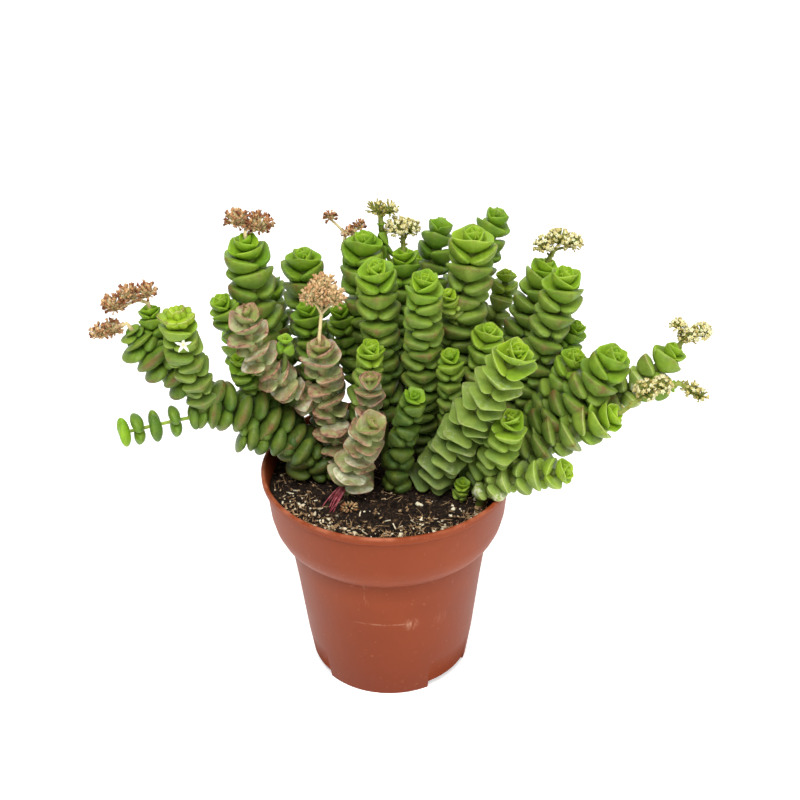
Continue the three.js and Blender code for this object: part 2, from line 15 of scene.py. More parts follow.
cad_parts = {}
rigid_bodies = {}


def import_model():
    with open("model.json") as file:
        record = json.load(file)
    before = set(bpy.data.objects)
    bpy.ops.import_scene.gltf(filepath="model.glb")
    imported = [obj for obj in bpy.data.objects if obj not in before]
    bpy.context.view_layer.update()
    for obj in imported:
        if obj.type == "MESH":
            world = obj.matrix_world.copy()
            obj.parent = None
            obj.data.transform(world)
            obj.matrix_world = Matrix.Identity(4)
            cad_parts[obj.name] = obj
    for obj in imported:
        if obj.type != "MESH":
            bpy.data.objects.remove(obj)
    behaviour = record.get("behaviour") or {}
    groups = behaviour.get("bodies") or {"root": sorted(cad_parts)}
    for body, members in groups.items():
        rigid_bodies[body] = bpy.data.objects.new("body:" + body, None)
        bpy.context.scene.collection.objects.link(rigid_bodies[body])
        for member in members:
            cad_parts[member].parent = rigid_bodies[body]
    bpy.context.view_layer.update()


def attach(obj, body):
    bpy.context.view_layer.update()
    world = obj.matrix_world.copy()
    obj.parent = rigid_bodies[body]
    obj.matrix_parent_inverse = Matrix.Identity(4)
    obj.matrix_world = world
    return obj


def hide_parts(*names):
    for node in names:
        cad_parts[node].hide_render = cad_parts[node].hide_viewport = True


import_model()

# %% [markdown]
# The camera comes first, because every look is judged through it. The photograph was taken from a little
# above the plant. The ellipses of the pot's rim and foot give the angle, 31.5 degrees above the horizon,
# and how much narrower the foot looks than the rim gives the distance, 0.7 m.

# %% Camera
TARGET = Vector((0.0065, 0.0, 0.1455))
ELEVATION = math.radians(31.5)
DISTANCE = 0.7
ROLL = math.radians(-0.85)
SENSOR = 36.0
LENS = 68.0

lens = bpy.data.cameras.new("camera")
lens.sensor_width = SENSOR
lens.lens = LENS
camera = bpy.data.objects.new("camera", lens)
bpy.context.collection.objects.link(camera)
camera.location = TARGET + DISTANCE * Vector((0.0, -math.cos(ELEVATION), math.sin(ELEVATION)))
tilt = Matrix.Rotation(math.pi / 2 - ELEVATION, 3, "X") @ Matrix.Rotation(ROLL, 3, "Z")
camera.rotation_euler = tilt.to_euler()
bpy.context.scene.camera = camera
print("camera at", [round(value, 3) for value in camera.location])

# %% [markdown]
# A material is a graph of nodes. Written node by node, its sums are hard to read, so a small class wraps a
# socket and lets Python's own operators add the Math nodes.

# %% Sums on a surface
class Signal:
    """A number that varies over a surface."""

    def __init__(self, finish, socket):
        self.finish = finish
        self.socket = socket

    def math(self, operation, *others, clamp=False):
        settings = {"operation": operation, "use_clamp": clamp}
        return self.finish.node("ShaderNodeMath", settings, dict(enumerate((self, *others))))

    def __add__(self, other):
        return self.math("ADD", other)

    def __sub__(self, other):
        return self.math("SUBTRACT", other)

    def __rsub__(self, other):
        return self.math("MULTIPLY", -1.0) + other

    def __mul__(self, other):
        return self.math("MULTIPLY", other)

    __radd__ = __add__
    __rmul__ = __mul__

    def between(self, low, high):
        """0 at low, 1 at high, a straight ramp between them and flat beyond. Low may be the greater."""
        scale = 1.0 / (high - low)
        return (self * scale).math("ADD", -low * scale, clamp=True)


print("a sum of signals is written as a sum of numbers is")

# %% [markdown]
# A second class holds one material. Its node method makes any node, with its settings first and its values
# or links after them. The nodes that are used most, such as a ramp of colours or a noise, have a short
# method each. Every pattern starts from the place on the piece itself, so it stays put when the piece moves.

# %% Materials
class Finish:
    """One material. It starts as a plain shader, and each call to node adds to its graph."""

    def __init__(self, name, **constants):
        self.material = bpy.data.materials.new(name)
        self.material.use_nodes = True
        self.tree = self.material.node_tree
        self.shader = self.tree.nodes["Principled BSDF"]
        for socket, value in constants.items():
            self.shader.inputs[socket.replace("_", " ")].default_value = value
        self.place = self.node("ShaderNodeTexCoord", output="Object")

    def node(self, kind, settings={}, inputs={}, output=0):
        """Any node: first its settings, then the values or links of its sockets."""
        node = self.tree.nodes.new(kind)
        for name, value in settings.items():
            setattr(node, name, value)
        for key, value in inputs.items():
            if isinstance(value, Signal):
                self.tree.links.new(value.socket, node.inputs[key])
            else:
                node.inputs[key].default_value = value
        return Signal(self, node.outputs[output])

    def ramp(self, factor, *stops):
        """Colours along a factor. A new ramp has two stops, which become the first and the last."""
        ramp = self.node("ShaderNodeValToRGB", {}, {"Fac": factor})
        elements = ramp.socket.node.color_ramp.elements
        for element, (position, color) in zip([elements[0], elements[1]], [stops[0], stops[-1]]):
            element.position = position
            element.color = (*color, 1.0)
        for position, color in stops[1:-1]:
            elements.new(position).color = (*color, 1.0)
        return ramp

    def mix(self, factor, first, second):
        """One colour over another. The mix node keeps its two colour sockets at 6 and 7."""
        colors = [value if isinstance(value, Signal) else (*value, 1.0) for value in (first, second)]
        inputs = {0: factor, 6: colors[0], 7: colors[1]}
        return self.node("ShaderNodeMix", {"data_type": "RGBA"}, inputs, output=2)

    def noise(self, scale, detail=2.0, place=None, roughness=0.5):
        inputs = {"Vector": place or self.place, "Scale": scale, "Detail": detail, "Roughness": roughness}
        return self.node("ShaderNodeTexNoise", {}, inputs)

    def stretched(self, x, y, z):
        """The place on the piece, with its axes stretched for a pattern with a grain."""
        return self.node("ShaderNodeMapping", {}, {"Vector": self.place, "Scale": (x, y, z)})

    def attribute(self, name):
        """A number that was written on the points of the piece."""
        return self.node("ShaderNodeAttribute", {"attribute_name": name}, output="Fac")

    def bump(self, height, strength, distance):
        inputs = {"Height": height, "Strength": strength, "Distance": distance}
        return self.node("ShaderNodeBump", {}, inputs)

    def surface(self, **links):
        for name, signal in links.items():
            self.tree.links.new(signal.socket, self.shader.inputs[name.replace("_", " ")])


print("a finish starts as a Principled BSDF")

# %% [markdown]
# Modelled pieces go through one helper. It turns a bmesh into a mesh object, which keeps its place in its
# mesh so that the object itself stays at the origin. It also hides the solids of the frame that the piece
# stands for. All the shapes are worked out in millimetres, as the solids are, and scaled to metres here.

# %% Piece helper
MM = 0.001


def finished(bm, name, material, nodes=(), sharp=None):
    """Make a bmesh a smooth piece. Edges that turn by more than sharp degrees stay crisp."""
    bmesh.ops.scale(bm, vec=(MM, MM, MM), verts=bm.verts)
    mesh = bpy.data.meshes.new(name)
    bm.to_mesh(mesh)
    bm.free()
    mesh.shade_smooth()
    if sharp:
        mesh.set_sharp_from_angle(angle=math.radians(sharp))
    mesh.materials.append(material)
    piece = bpy.data.objects.new(name, mesh)
    bpy.context.collection.objects.link(piece)
    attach(piece, "root")
    if nodes:
        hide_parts(*nodes)
    return piece


def triangles(piece):
    depsgraph = bpy.context.evaluated_depsgraph_get()
    mesh = piece.evaluated_get(depsgraph).data
    mesh.calc_loop_triangles()
    return len(mesh.loop_triangles)


print("pieces are modelled in millimetres, 1 mm is", MM, "m")

# %% [markdown]
# The plant stands on a plain pale floor that curves up into a backdrop, as on a photographer's table. Light
# comes from broad soft panels, since the photograph has no hard shadow.

# %% Floor and lights
FLOOR_HALF = 2.5
BACKDROP_HEIGHT = 2.0
SWEEP = 0.8
PLANT_MIDDLE = Vector((0, 0, 0.13))

bm = bmesh.new()
bmesh.ops.create_grid(bm, x_segments=1, y_segments=1, size=FLOOR_HALF)
back = [edge for edge in bm.edges if all(vert.co.y > 0 for vert in edge.verts)]
wall = bmesh.ops.extrude_edge_only(bm, edges=back)["geom"]
raised = [part for part in wall if isinstance(part, bmesh.types.BMVert)]
bmesh.ops.translate(bm, vec=(0, 0, BACKDROP_HEIGHT), verts=raised)
bmesh.ops.bevel(bm, geom=back, offset=SWEEP, segments=12, profile=0.5, affect="EDGES", material=-1)
mesh = bpy.data.meshes.new("floor")
bm.to_mesh(mesh)
bm.free()
mesh.shade_smooth()
floor = bpy.data.objects.new("floor", mesh)
bpy.context.collection.objects.link(floor)
paper = Finish("paper", Base_Color=(0.93, 0.93, 0.92, 1), Roughness=0.9)
paper.shader.inputs["Emission Color"].default_value = (1, 1, 1, 1)
paper.shader.inputs["Emission Strength"].default_value = 0.4
mesh.materials.append(paper.material)


def panel(name, place, size, power):
    """A round soft light, in metres and watts, that looks at the plant."""
    light = bpy.data.lights.new(name, "AREA")
    light.shape = "DISK"
    light.size = size
    light.energy = power
    lamp = bpy.data.objects.new(name, light)
    bpy.context.collection.objects.link(lamp)
    lamp.location = place
    lamp.rotation_euler = (PLANT_MIDDLE - Vector(place)).to_track_quat("-Z", "Y").to_euler()


panel("key_panel", (-0.2, -0.62, 1.35), 0.8, 18.5)
panel("fill_panel", (0.8, -0.8, 0.9), 0.9, 8.0)
panel("back_panel", (0.1, 0.9, 1.2), 0.8, 6.0)

world = bpy.data.worlds.new("room")
world.use_nodes = True
world.node_tree.nodes["Background"].inputs["Color"].default_value = (1.0, 1.0, 1.0, 1.0)
world.node_tree.nodes["Background"].inputs["Strength"].default_value = 0.36
bpy.context.scene.world = world
bpy.context.scene.view_settings.view_transform = "Standard"
print("floor, three light panels and a pale room")

# %% [markdown]
# The pot is a thin-walled nursery pot. A factory moulds it, but its shape is that of something turned: a
# profile that runs up the outside, over the rim and down the inside, spun round the upright axis. The one
# line makes the outside and the inside together, so nothing has to be hollowed out.

# %% Pot
POT_OUTSIDE = [(38.5, 0), (41.3, 18), (45, 50), (48.2, 73.6), (52.8, 78), (54.9, 82.4), (56.3, 88), (58, 105)]
POT_RIM = [(59.2, 106), (59.9, 106.8), (60, 109.2), (59.4, 110), (58.6, 110), (57.9, 109.2)]
POT_WALL = 1.2
POT_FLOOR = 1.5
POT_STEPS = 144


def spun(bm, profile, steps):
    """Spin a line of (radius, height) points once round the upright axis into a closed skin."""
    verts = [bm.verts.new((radius, 0, height)) for radius, height in profile]
    edges = [bm.edges.new(pair) for pair in zip(verts, verts[1:])]
    once = dict(cent=(0, 0, 0), axis=(0, 0, 1), angle=math.tau, steps=steps, use_merge=True)
    bmesh.ops.spin(bm, geom=verts + edges, **once)
    bmesh.ops.remove_doubles(bm, verts=bm.verts, dist=0.001)
    bmesh.ops.recalc_face_normals(bm, faces=bm.faces)


plastic = Finish("terracotta_plastic", Roughness=0.45, Specular_IOR_Level=0.12)
bm = bmesh.new()
inside = [(radius - POT_WALL, height) for radius, height in reversed(POT_OUTSIDE[1:])]
floor_line = [(POT_OUTSIDE[0][0] - POT_WALL, POT_FLOOR), (0, POT_FLOOR)]
spun(bm, [(0, 0), *POT_OUTSIDE, *POT_RIM, *inside, *floor_line], POT_STEPS)
pot = finished(bm, "nursery_pot", plastic.material, ["pot"], sharp=30)
print("pot", triangles(pot), "triangles")

# %% [markdown]
# Water drains from the pot through three low notches in the foot of its wall. Each cutter is an upright
# rectangle, spun through the width of one notch. A Boolean modifier takes all three out of the wall at
# once, and its result is kept as the mesh of the pot. Every edge of a moulded pot is a little round, so a
# fine bevel follows, where the light can catch.

# %% Drainage notches
NOTCH_MIDDLES = [math.radians(-41 + 120 * index) for index in range(3)]
NOTCH_HALF = math.radians(21)
NOTCH_STEPS = 8
NOTCH_CORNERS = [(33.5, -4), (43.5, -4), (43.5, 4), (33.5, 4)]
EDGE_ROUNDING = 0.35

bm = bmesh.new()
for middle in NOTCH_MIDDLES:
    face = bm.faces.new([bm.verts.new((radius, 0, height)) for radius, height in NOTCH_CORNERS])
    turn = Matrix.Rotation(middle - NOTCH_HALF, 3, "Z")
    bmesh.ops.rotate(bm, cent=(0, 0, 0), matrix=turn, verts=face.verts)
    bmesh.ops.spin(bm, geom=[face], cent=(0, 0, 0), axis=(0, 0, 1), angle=2 * NOTCH_HALF, steps=NOTCH_STEPS)
bmesh.ops.recalc_face_normals(bm, faces=bm.faces)
bmesh.ops.scale(bm, vec=(MM, MM, MM), verts=bm.verts)
mesh = bpy.data.meshes.new("notch_cutter")
bm.to_mesh(mesh)
bm.free()
cutter = bpy.data.objects.new("notch_cutter", mesh)
bpy.context.collection.objects.link(cutter)
cut = pot.modifiers.new("notches", "BOOLEAN")
cut.operation = "DIFFERENCE"
cut.solver = "EXACT"
cut.object = cutter
whole = bpy.data.meshes.new_from_object(pot.evaluated_get(bpy.context.evaluated_depsgraph_get()))
pot.modifiers.remove(cut)
pot.data = whole
bpy.data.objects.remove(cutter)
soften = pot.modifiers.new("soft_edges", "BEVEL")
soften.width = EDGE_ROUNDING * MM
soften.segments = 2
soften.limit_method = "ANGLE"
soften.angle_limit = math.radians(35)
print("pot with its notches", triangles(pot), "triangles")

# %% [markdown]
# The plastic is a satin terracotta brown. It isn't one flat colour: the pigment is slightly cloudy, the lower
# wall and a band under the ledge are painted darker as shade, the top of the rim carries patches of painted
# highlight, and handling has left faint scratches. A pale scuff shows low on the front. Each of these is a
# mask between 0 and 1, and the masks mix one colour over another.

# %% Terracotta plastic
def srgb(red, green, blue):
    """A colour as it reads on a screen, from 0 to 255, turned into the light values that shaders use."""
    return tuple(((value / 255 + 0.055) / 1.055) ** 2.4 for value in (red, green, blue))


TERRACOTTA = srgb(139, 64, 32)
TERRACOTTA_DEEP = srgb(129, 57, 28)
# Painted shade: the colour of the lower wall and of the band under the ledge.
TERRACOTTA_PAINTED_SHADE = srgb(111, 45, 21)
# Pale colour: the fine specks, and a painted highlight on the top of the rim.
TERRACOTTA_SPECK_AND_HIGHLIGHT = srgb(190, 116, 86)
DUST = srgb(206, 160, 134)
SCUFF = (0.0102, -0.0437, 0.0478)
FAINT_SCUFF = (0.0245, -0.0375, 0.0470)
SCRATCH = (0, -0.044, 0.05)
SCRATCH_HEIGHT = 0.0485

across = plastic.node("ShaderNodeSeparateXYZ", {}, {"Vector": plastic.place}, output="X")
height = plastic.node("ShaderNodeSeparateXYZ", {}, {"Vector": plastic.place}, output="Z")
cloud = plastic.noise(28, 4).between(0.35, 0.7)
grain = plastic.noise(900, 3)
speck = plastic.noise(520, 2).between(0.66, 0.74)
# Painted highlight: the top of the rim paler in patches.
rim_highlight_painted = height.between(0.1085, 0.1098) * plastic.noise(140, 4).between(0.42, 0.66)
# Painted shade in a band under the ledge.
ledge_shade_painted = height.between(0.062, 0.0745) * (1 - height.between(0.0765, 0.079))


def near_place(spot, inner, outer):
    """1 close to a spot of the pot, in metres, fading to 0 at the outer distance."""
    inputs = {0: plastic.place, 1: spot}
    distance = plastic.node("ShaderNodeVectorMath", {"operation": "DISTANCE"}, inputs, output=1)
    return 1 - distance.between(inner, outer)


slant = {"Vector": plastic.place, "Rotation": (0, 0.6, 0), "Scale": (5, 3, 1)}
slanted = plastic.node("ShaderNodeMapping", {}, slant)
strokes = plastic.noise(200, 5, slanted, 0.7).between(0.44, 0.66)
brush = near_place(SCUFF, 0.001, 0.0048) + near_place(FAINT_SCUFF, 0.0005, 0.005) * 0.3
level = (height - SCRATCH_HEIGHT).math("ABSOLUTE")
stretch = across.between(-0.018, -0.006) * (1 - across.between(0.006, 0.010))
stretch = stretch * near_place(SCRATCH, 0.02, 0.024)
line = (1 - level.between(0.00025, 0.0006)) * stretch * plastic.noise(300, 3).between(0.35, 0.6)
scuff = brush * strokes * 0.6 + line * 0.4
scratch = plastic.noise(38, 3, plastic.stretched(6, 6, 0.5), 0.6).between(0.70, 0.73) * 0.15
color = plastic.mix(cloud, TERRACOTTA_DEEP, TERRACOTTA)
# Painted shade: darker towards the foot, and under the ledge.
color = plastic.mix((1 - height.between(0.0, 0.075)) * 0.7, color, TERRACOTTA_PAINTED_SHADE)
color = plastic.mix(ledge_shade_painted * 0.6, color, TERRACOTTA_PAINTED_SHADE)
color = plastic.mix(speck * 0.2, color, TERRACOTTA_SPECK_AND_HIGHLIGHT)
# Painted highlight on the top of the rim.
color = plastic.mix(rim_highlight_painted * 0.6, color, TERRACOTTA_SPECK_AND_HIGHLIGHT)
color = plastic.mix((scuff * 0.8 + scratch).math("MINIMUM", 1.0), color, DUST)
rough = 0.42 + cloud * 0.08 + scuff * 0.25 + rim_highlight_painted * 0.2
plastic.surface(Base_Color=color, Roughness=rough, Normal=plastic.bump(grain + strokes * 0.4, 0.2, 0.0001))
print("plastic", len(plastic.tree.nodes), "nodes")

# %% [markdown]
# The peat fills the pot to a low, lumpy mound. It is one turned body, so that it is closed all round, and
# its upper points are then pushed up and down by noise of three sizes. A shallow pit lies where the aerial
# roots dive in. The same height function also tells every crumb, chip and low leaf where the surface is.

# %% Peat
SOIL_EDGE = 56.0
SOIL_HEIGHT = 100.5
SOIL_FOOT = 1.8
SOIL_WALL = [(37.0, SOIL_FOOT), (46.7, 74), (51.3, 78), (54.8, 88)]
SOIL_RINGS = 64
SOIL_STEPS = 216
MOUND = 2.4
PIT = (-27.0, -23.0)
PIT_DEPTH = 2.0
PIT_WIDTH = 3.4


def soil_top(x, y):
    """The height of the mound, without its crumbs."""
    out = min(1.0, math.hypot(x, y) / SOIL_EDGE)
    bumps = 0.5 * math.sin(0.31 * x + 0.27 * y + 1.3) + 0.3 * math.sin(0.83 * x - 0.57 * y)
    pit = PIT_DEPTH * math.exp(-((x - PIT[0]) ** 2 + (y - PIT[1]) ** 2) / (2 * PIT_WIDTH**2))
    return SOIL_HEIGHT + MOUND * (1 - out**4) + bumps - pit


def lumpy(x, y):
    """Clods of peat: noise at the size of a pea, of a grain of rice and of a pinhead."""
    coarse = noise.noise(Vector((x, y, 0.0)) * 0.2)
    fine = noise.noise(Vector((x, y, 7.0)) * 0.62)
    grain = noise.noise(Vector((x, y, 3.0)) * 1.4)
    return 1.8 * coarse + 1.3 * fine + 0.7 * grain


bm = bmesh.new()
rings = [(SOIL_EDGE * (1 - index / SOIL_RINGS), SOIL_HEIGHT) for index in range(SOIL_RINGS + 1)]
spun(bm, [(0, SOIL_FOOT), *SOIL_WALL, *rings], SOIL_STEPS)
for vert in bm.verts:
    if vert.co.z > SOIL_HEIGHT - 0.1:
        vert.co.z = soil_top(vert.co.x, vert.co.y) + lumpy(vert.co.x, vert.co.y)
peat = Finish("peat", Roughness=0.95, Specular_IOR_Level=0.2)
damp = peat.noise(60, 4).between(0.4, 0.65)
crumb = peat.noise(700, 6, roughness=0.7)
fleck = peat.noise(430, 2).between(0.66, 0.7)
color = peat.ramp(crumb, (0.36, srgb(9, 6, 5)), (0.54, srgb(38, 27, 19)), (0.7, srgb(116, 88, 62)))
color = peat.mix(damp * 0.5, color, srgb(34, 24, 18))
color = peat.mix(fleck * 0.7, color, srgb(150, 118, 84))
peat.surface(Base_Color=color, Normal=peat.bump(crumb, 0.9, 0.0012))
soil = finished(bm, "peat_mound", peat.material, ["soil"], sharp=80)
print("peat", triangles(soil), "triangles")

# %% [markdown]
# A potting mix is never just brown. White lumps of perlite, pale splinters, tan chips of bark, fibres and
# loose crumbs lie on it, thickest along the front edge. Each kind is one small shape repeated at seeded
# places, each with its own size and turn. A few lumps and three broad chips on the right have places of
# their own.

# %% Litter on the peat
LITTER_EDGE = SOIL_EDGE - 1.5
PIT_CLEAR = 4
seeded = random.Random(11)


def scattered(count, edge_share):
    """Places on the peat: some along the front edge, the others anywhere, and none in the roots' pit."""
    spots = []
    while len(spots) < count:
        if seeded.random() < edge_share:
            angle = math.radians(seeded.gauss(-95, 42))
            out = LITTER_EDGE - abs(seeded.gauss(0, 7))
        else:
            angle = seeded.uniform(0, math.tau)
            out = LITTER_EDGE * math.sqrt(seeded.random())
        x, y = out * math.cos(angle), out * math.sin(angle)
        if out > 0 and math.hypot(x - PIT[0], y - PIT[1]) > PIT_CLEAR:
            spots.append(Vector((x, y, soil_top(x, y) + lumpy(x, y))))
    return spots


def any_turn():
    """A turn by any angle about any axis."""
    axis = Vector([seeded.gauss(0, 1) for _ in range(3)]).normalized()
    return Matrix.Rotation(seeded.uniform(0, math.tau), 4, axis)


def lump(bm, place, size, squash, rounds, roughness):
    """A small uneven stone or crumb."""
    stretch = Matrix.Diagonal((1, seeded.uniform(0.6, 1), squash, 1))
    matrix = Matrix.Translation(place) @ any_turn() @ stretch
    verts = bmesh.ops.create_icosphere(bm, subdivisions=rounds, radius=size, matrix=matrix)["verts"]
    for vert in verts:
        vert.co += (vert.co - place) * seeded.uniform(-roughness, roughness)


print("litter keeps", PIT_CLEAR, "mm clear of the roots' pit")

# %% [markdown]
# Dried crumbs and clods of peat lie loose on the mound. More noise in the mound itself could suggest them,
# but it would leave no shadow under them. So each is a small icosphere, squashed, roughened and turned by
# chance, and all of them wear the finish of the peat.

# %% Crumbs and clods
CRUMBS = 900
CLODS = 120
bm = bmesh.new()
for place in scattered(CRUMBS, 0.4):
    lump(bm, place + Vector((0, 0, 0.1)), seeded.uniform(0.35, 1.5), 0.8, 1, 0.3)
for place in scattered(CLODS, 0.3):
    lump(bm, place, seeded.uniform(1.4, 2.6), 0.7, 2, 0.22)
crumbs = finished(bm, "peat_crumbs", peat.material, sharp=50)
print("crumbs", triangles(crumbs), "triangles")

# %% [markdown]
# Perlite is puffed volcanic glass, so its lumps are white, pitted and a little dirty. Thin splinters of
# wood lie among them: flat boxes whose corners are pushed about. Both are pale, so one finish serves for
# both.

# %% Perlite and splinters
GRAINS = 170
SPLINTERS = 190
white = Finish("perlite", Base_Color=(0.78, 0.75, 0.69, 1), Roughness=0.85, Subsurface_Weight=0.1)
LUMPS = [
    ((14.0, -23.6, 103.2), 1.6), ((15.6, -24.2, 103.0), 1.1), ((-39.0, -22.5, 102.2), 1.4),
    ((-41.5, -20.8, 102.0), 1.1), ((-36.5, -24.4, 102.0), 1.0), ((6.0, -46.0, 102.2), 1.2),
    ((21.0, -44.0, 102.2), 1.1),
]
pits = white.noise(1500, 3)
dirt = white.noise(260, 3).between(0.45, 0.7)
color = white.mix(dirt * 0.7, srgb(242, 228, 194), srgb(176, 138, 92))
white.surface(Base_Color=color, Normal=white.bump(pits, 0.7, 0.0004))
bm = bmesh.new()
for place in scattered(GRAINS, 0.75):
    lump(bm, place + Vector((0, 0, 0.3)), seeded.triangular(0.2, 1.5, 0.35), 0.7, 1, 0.35)
for place, size in LUMPS:
    lump(bm, Vector(place), size, 0.65, 2, 0.2)
for place in scattered(SPLINTERS, 0.88):
    flat = Matrix.Rotation(seeded.uniform(0, math.tau), 4, "Z")
    flat = flat @ Matrix.Rotation(seeded.gauss(0, 0.4), 4, "Y")
    stretch = Matrix.Diagonal((seeded.triangular(0.6, 4.2, 1.2), seeded.uniform(0.2, 0.7), 0.3, 1))
    matrix = Matrix.Translation(place + Vector((0, 0, 0.5))) @ flat @ stretch
    for vert in bmesh.ops.create_cube(bm, size=1.0, matrix=matrix)["verts"]:
        vert.co += Vector([seeded.uniform(-0.15, 0.15) for _ in range(3)])
perlite = finished(bm, "perlite_lumps", white.material, sharp=60)
print("perlite", triangles(perlite), "triangles")

# %% [markdown]
# The chips of bark are tan and flaky, with a grain. Each is a thin box with its corners pushed out of true,
# because a chip that split off has no two edges alike. The noise of the finish is stretched into streaks,
# which look like fibres of wood.

# %% Bark chips
CHIPS = 420
CHIP_PLACES = [(48.8, -18.6, 103.2), (45.6, -21.8, 103.4), (43.0, -25.6, 102.9)]
bark = Finish("bark", Roughness=0.8)
fibre_grain = bark.noise(300, 5, bark.stretched(1, 6, 6), 0.65)
color = bark.ramp(fibre_grain, (0.3, srgb(84, 58, 36)), (0.5, srgb(160, 124, 84)), (0.7, srgb(228, 200, 156)))
bark.surface(Base_Color=color, Normal=bark.bump(fibre_grain, 0.8, 0.0005))
bm = bmesh.new()
for place in scattered(CHIPS, 0.7):
    size = (seeded.uniform(0.9, 2.6), seeded.uniform(0.4, 1.1), seeded.uniform(0.15, 0.35))
    flat = Matrix.Rotation(seeded.uniform(0, math.tau), 4, "Z")
    flat = flat @ Matrix.Rotation(seeded.gauss(0, 0.3), 4, "X")
    matrix = Matrix.Translation(place + Vector((0, 0, 0.4))) @ flat @ Matrix.Diagonal((*size, 1))
    verts = bmesh.ops.create_cube(bm, size=1.0, matrix=matrix)["verts"]
    for vert in verts:
        vert.co += Vector([seeded.uniform(-0.18, 0.18) for _ in range(3)])
for place in CHIP_PLACES:
    flat = Matrix.Rotation(math.radians(52), 4, "Z") @ Matrix.Rotation(0.2, 4, "Y")
    matrix = Matrix.Translation(place) @ flat @ Matrix.Diagonal((6.5, 2.2, 0.9, 1))
    verts = bmesh.ops.create_cube(bm, size=1.0, matrix=matrix)["verts"]
    bmesh.ops.subdivide_edges(bm, edges=[edge for edge in bm.edges if edge.verts[0] in verts], cuts=2)
chips = finished(bm, "bark_chips", bark.material, sharp=40)
print("chips", triangles(chips), "triangles")

# %% [markdown]
# Fibres, stems, stalks and roots are all tubes. A capped ring is set into the first frame of a path and
# then extruded from frame to frame. Each frame is a matrix, so it says at once where a ring lies, which way
# it looks and how wide it is.

# %% Tubes
def placed(centre, x_axis, y_axis, z_axis):
    """The matrix that puts a shape at a centre, along three axes."""
    matrix = Matrix((x_axis, y_axis, z_axis)).transposed().to_4x4()
    matrix.translation = centre
    return matrix


def tube(bm, frames, sides):
    """A round skin through frames, which give the place, direction and radius of each of its rings."""
    ring = bmesh.ops.create_circle(bm, cap_ends=True, segments=sides, radius=1.0, matrix=frames[0])["verts"]
    edges = [edge for edge in ring[0].link_faces[0].edges]
    made = list(ring)
    for before, after in zip(frames, frames[1:]):
        grown = bmesh.ops.extrude_edge_only(bm, edges=edges)["geom"]
        verts = [part for part in grown if isinstance(part, bmesh.types.BMVert)]
        rails = [part for part in grown if isinstance(part, bmesh.types.BMEdge)]
        edges = [edge for edge in rails if set(edge.verts) <= set(verts)]
        bmesh.ops.transform(bm, matrix=after @ before.inverted(), verts=verts)
        made += verts
    bmesh.ops.holes_fill(bm, edges=edges, sides=0)
    return made


def frames_along(spots, radii):
    """One frame at each spot of a path, with its z axis along the path."""
    frames = []
    for index, (spot, radius) in enumerate(zip(spots, radii)):
        ahead = (spots[min(index + 1, len(spots) - 1)] - spots[max(index - 1, 0)]).normalized()
        side = ahead.cross(Vector((0.31, 0.95, 0.07))).normalized()
        frames.append(placed(spot, side * radius, ahead.cross(side) * radius, ahead * radius))
    return frames


print("tubes grow frame by frame along a path")

# %% [markdown]
# Fine fibres stick out of the peat everywhere. Each is a tube of three sides through four points, which is
# enough for something thinner than half a millimetre. One that would run into the wall of the pot is drawn
# in.

# %% Fibres
FIBRES = 560
FIBRE_RADII = (0.16, 0.2, 0.17, 0.1)
bm = bmesh.new()
for place in scattered(FIBRES, 0.75):
    angle = seeded.uniform(0, math.tau)
    heading = Vector((math.cos(angle), math.sin(angle), seeded.uniform(-0.1, 0.25)))
    bend = Vector([seeded.gauss(0, 0.6) for _ in range(3)])
    reach = seeded.uniform(2.0, 7.0)
    root = place + Vector((0, 0, 0.5))
    spots = [root + heading * (reach * step / 3) + bend * (step / 3) ** 2 for step in range(4)]
    for spot in spots:
        spot.xy *= min(1.0, (SOIL_EDGE - 0.3) / spot.xy.length)
    stout = seeded.uniform(0.5, 1.1)
    tube(bm, frames_along(spots, [stout * radius for radius in FIBRE_RADII]), 3)
bmesh.ops.recalc_face_normals(bm, faces=bm.faces)
fibres = finished(bm, "peat_fibres", bark.material)
print("fibres", triangles(fibres), "triangles")

# %% [markdown]
# Now the plant. Each stem follows one smooth curve, the same one as its solid in the frame: it leaves the
# peat at one slope and ends at another. The rows below are those of the solids. foot is where the stem
# leaves the peat and tip is where it ends. rise is its slope at both ends in degrees, leaf is how far its
# leaves reach, and bare is the length that has shed its leaves. A branch leaves the stem named by on, at a
# share of its length. pitch is the distance between its leaf pairs where they don't touch.

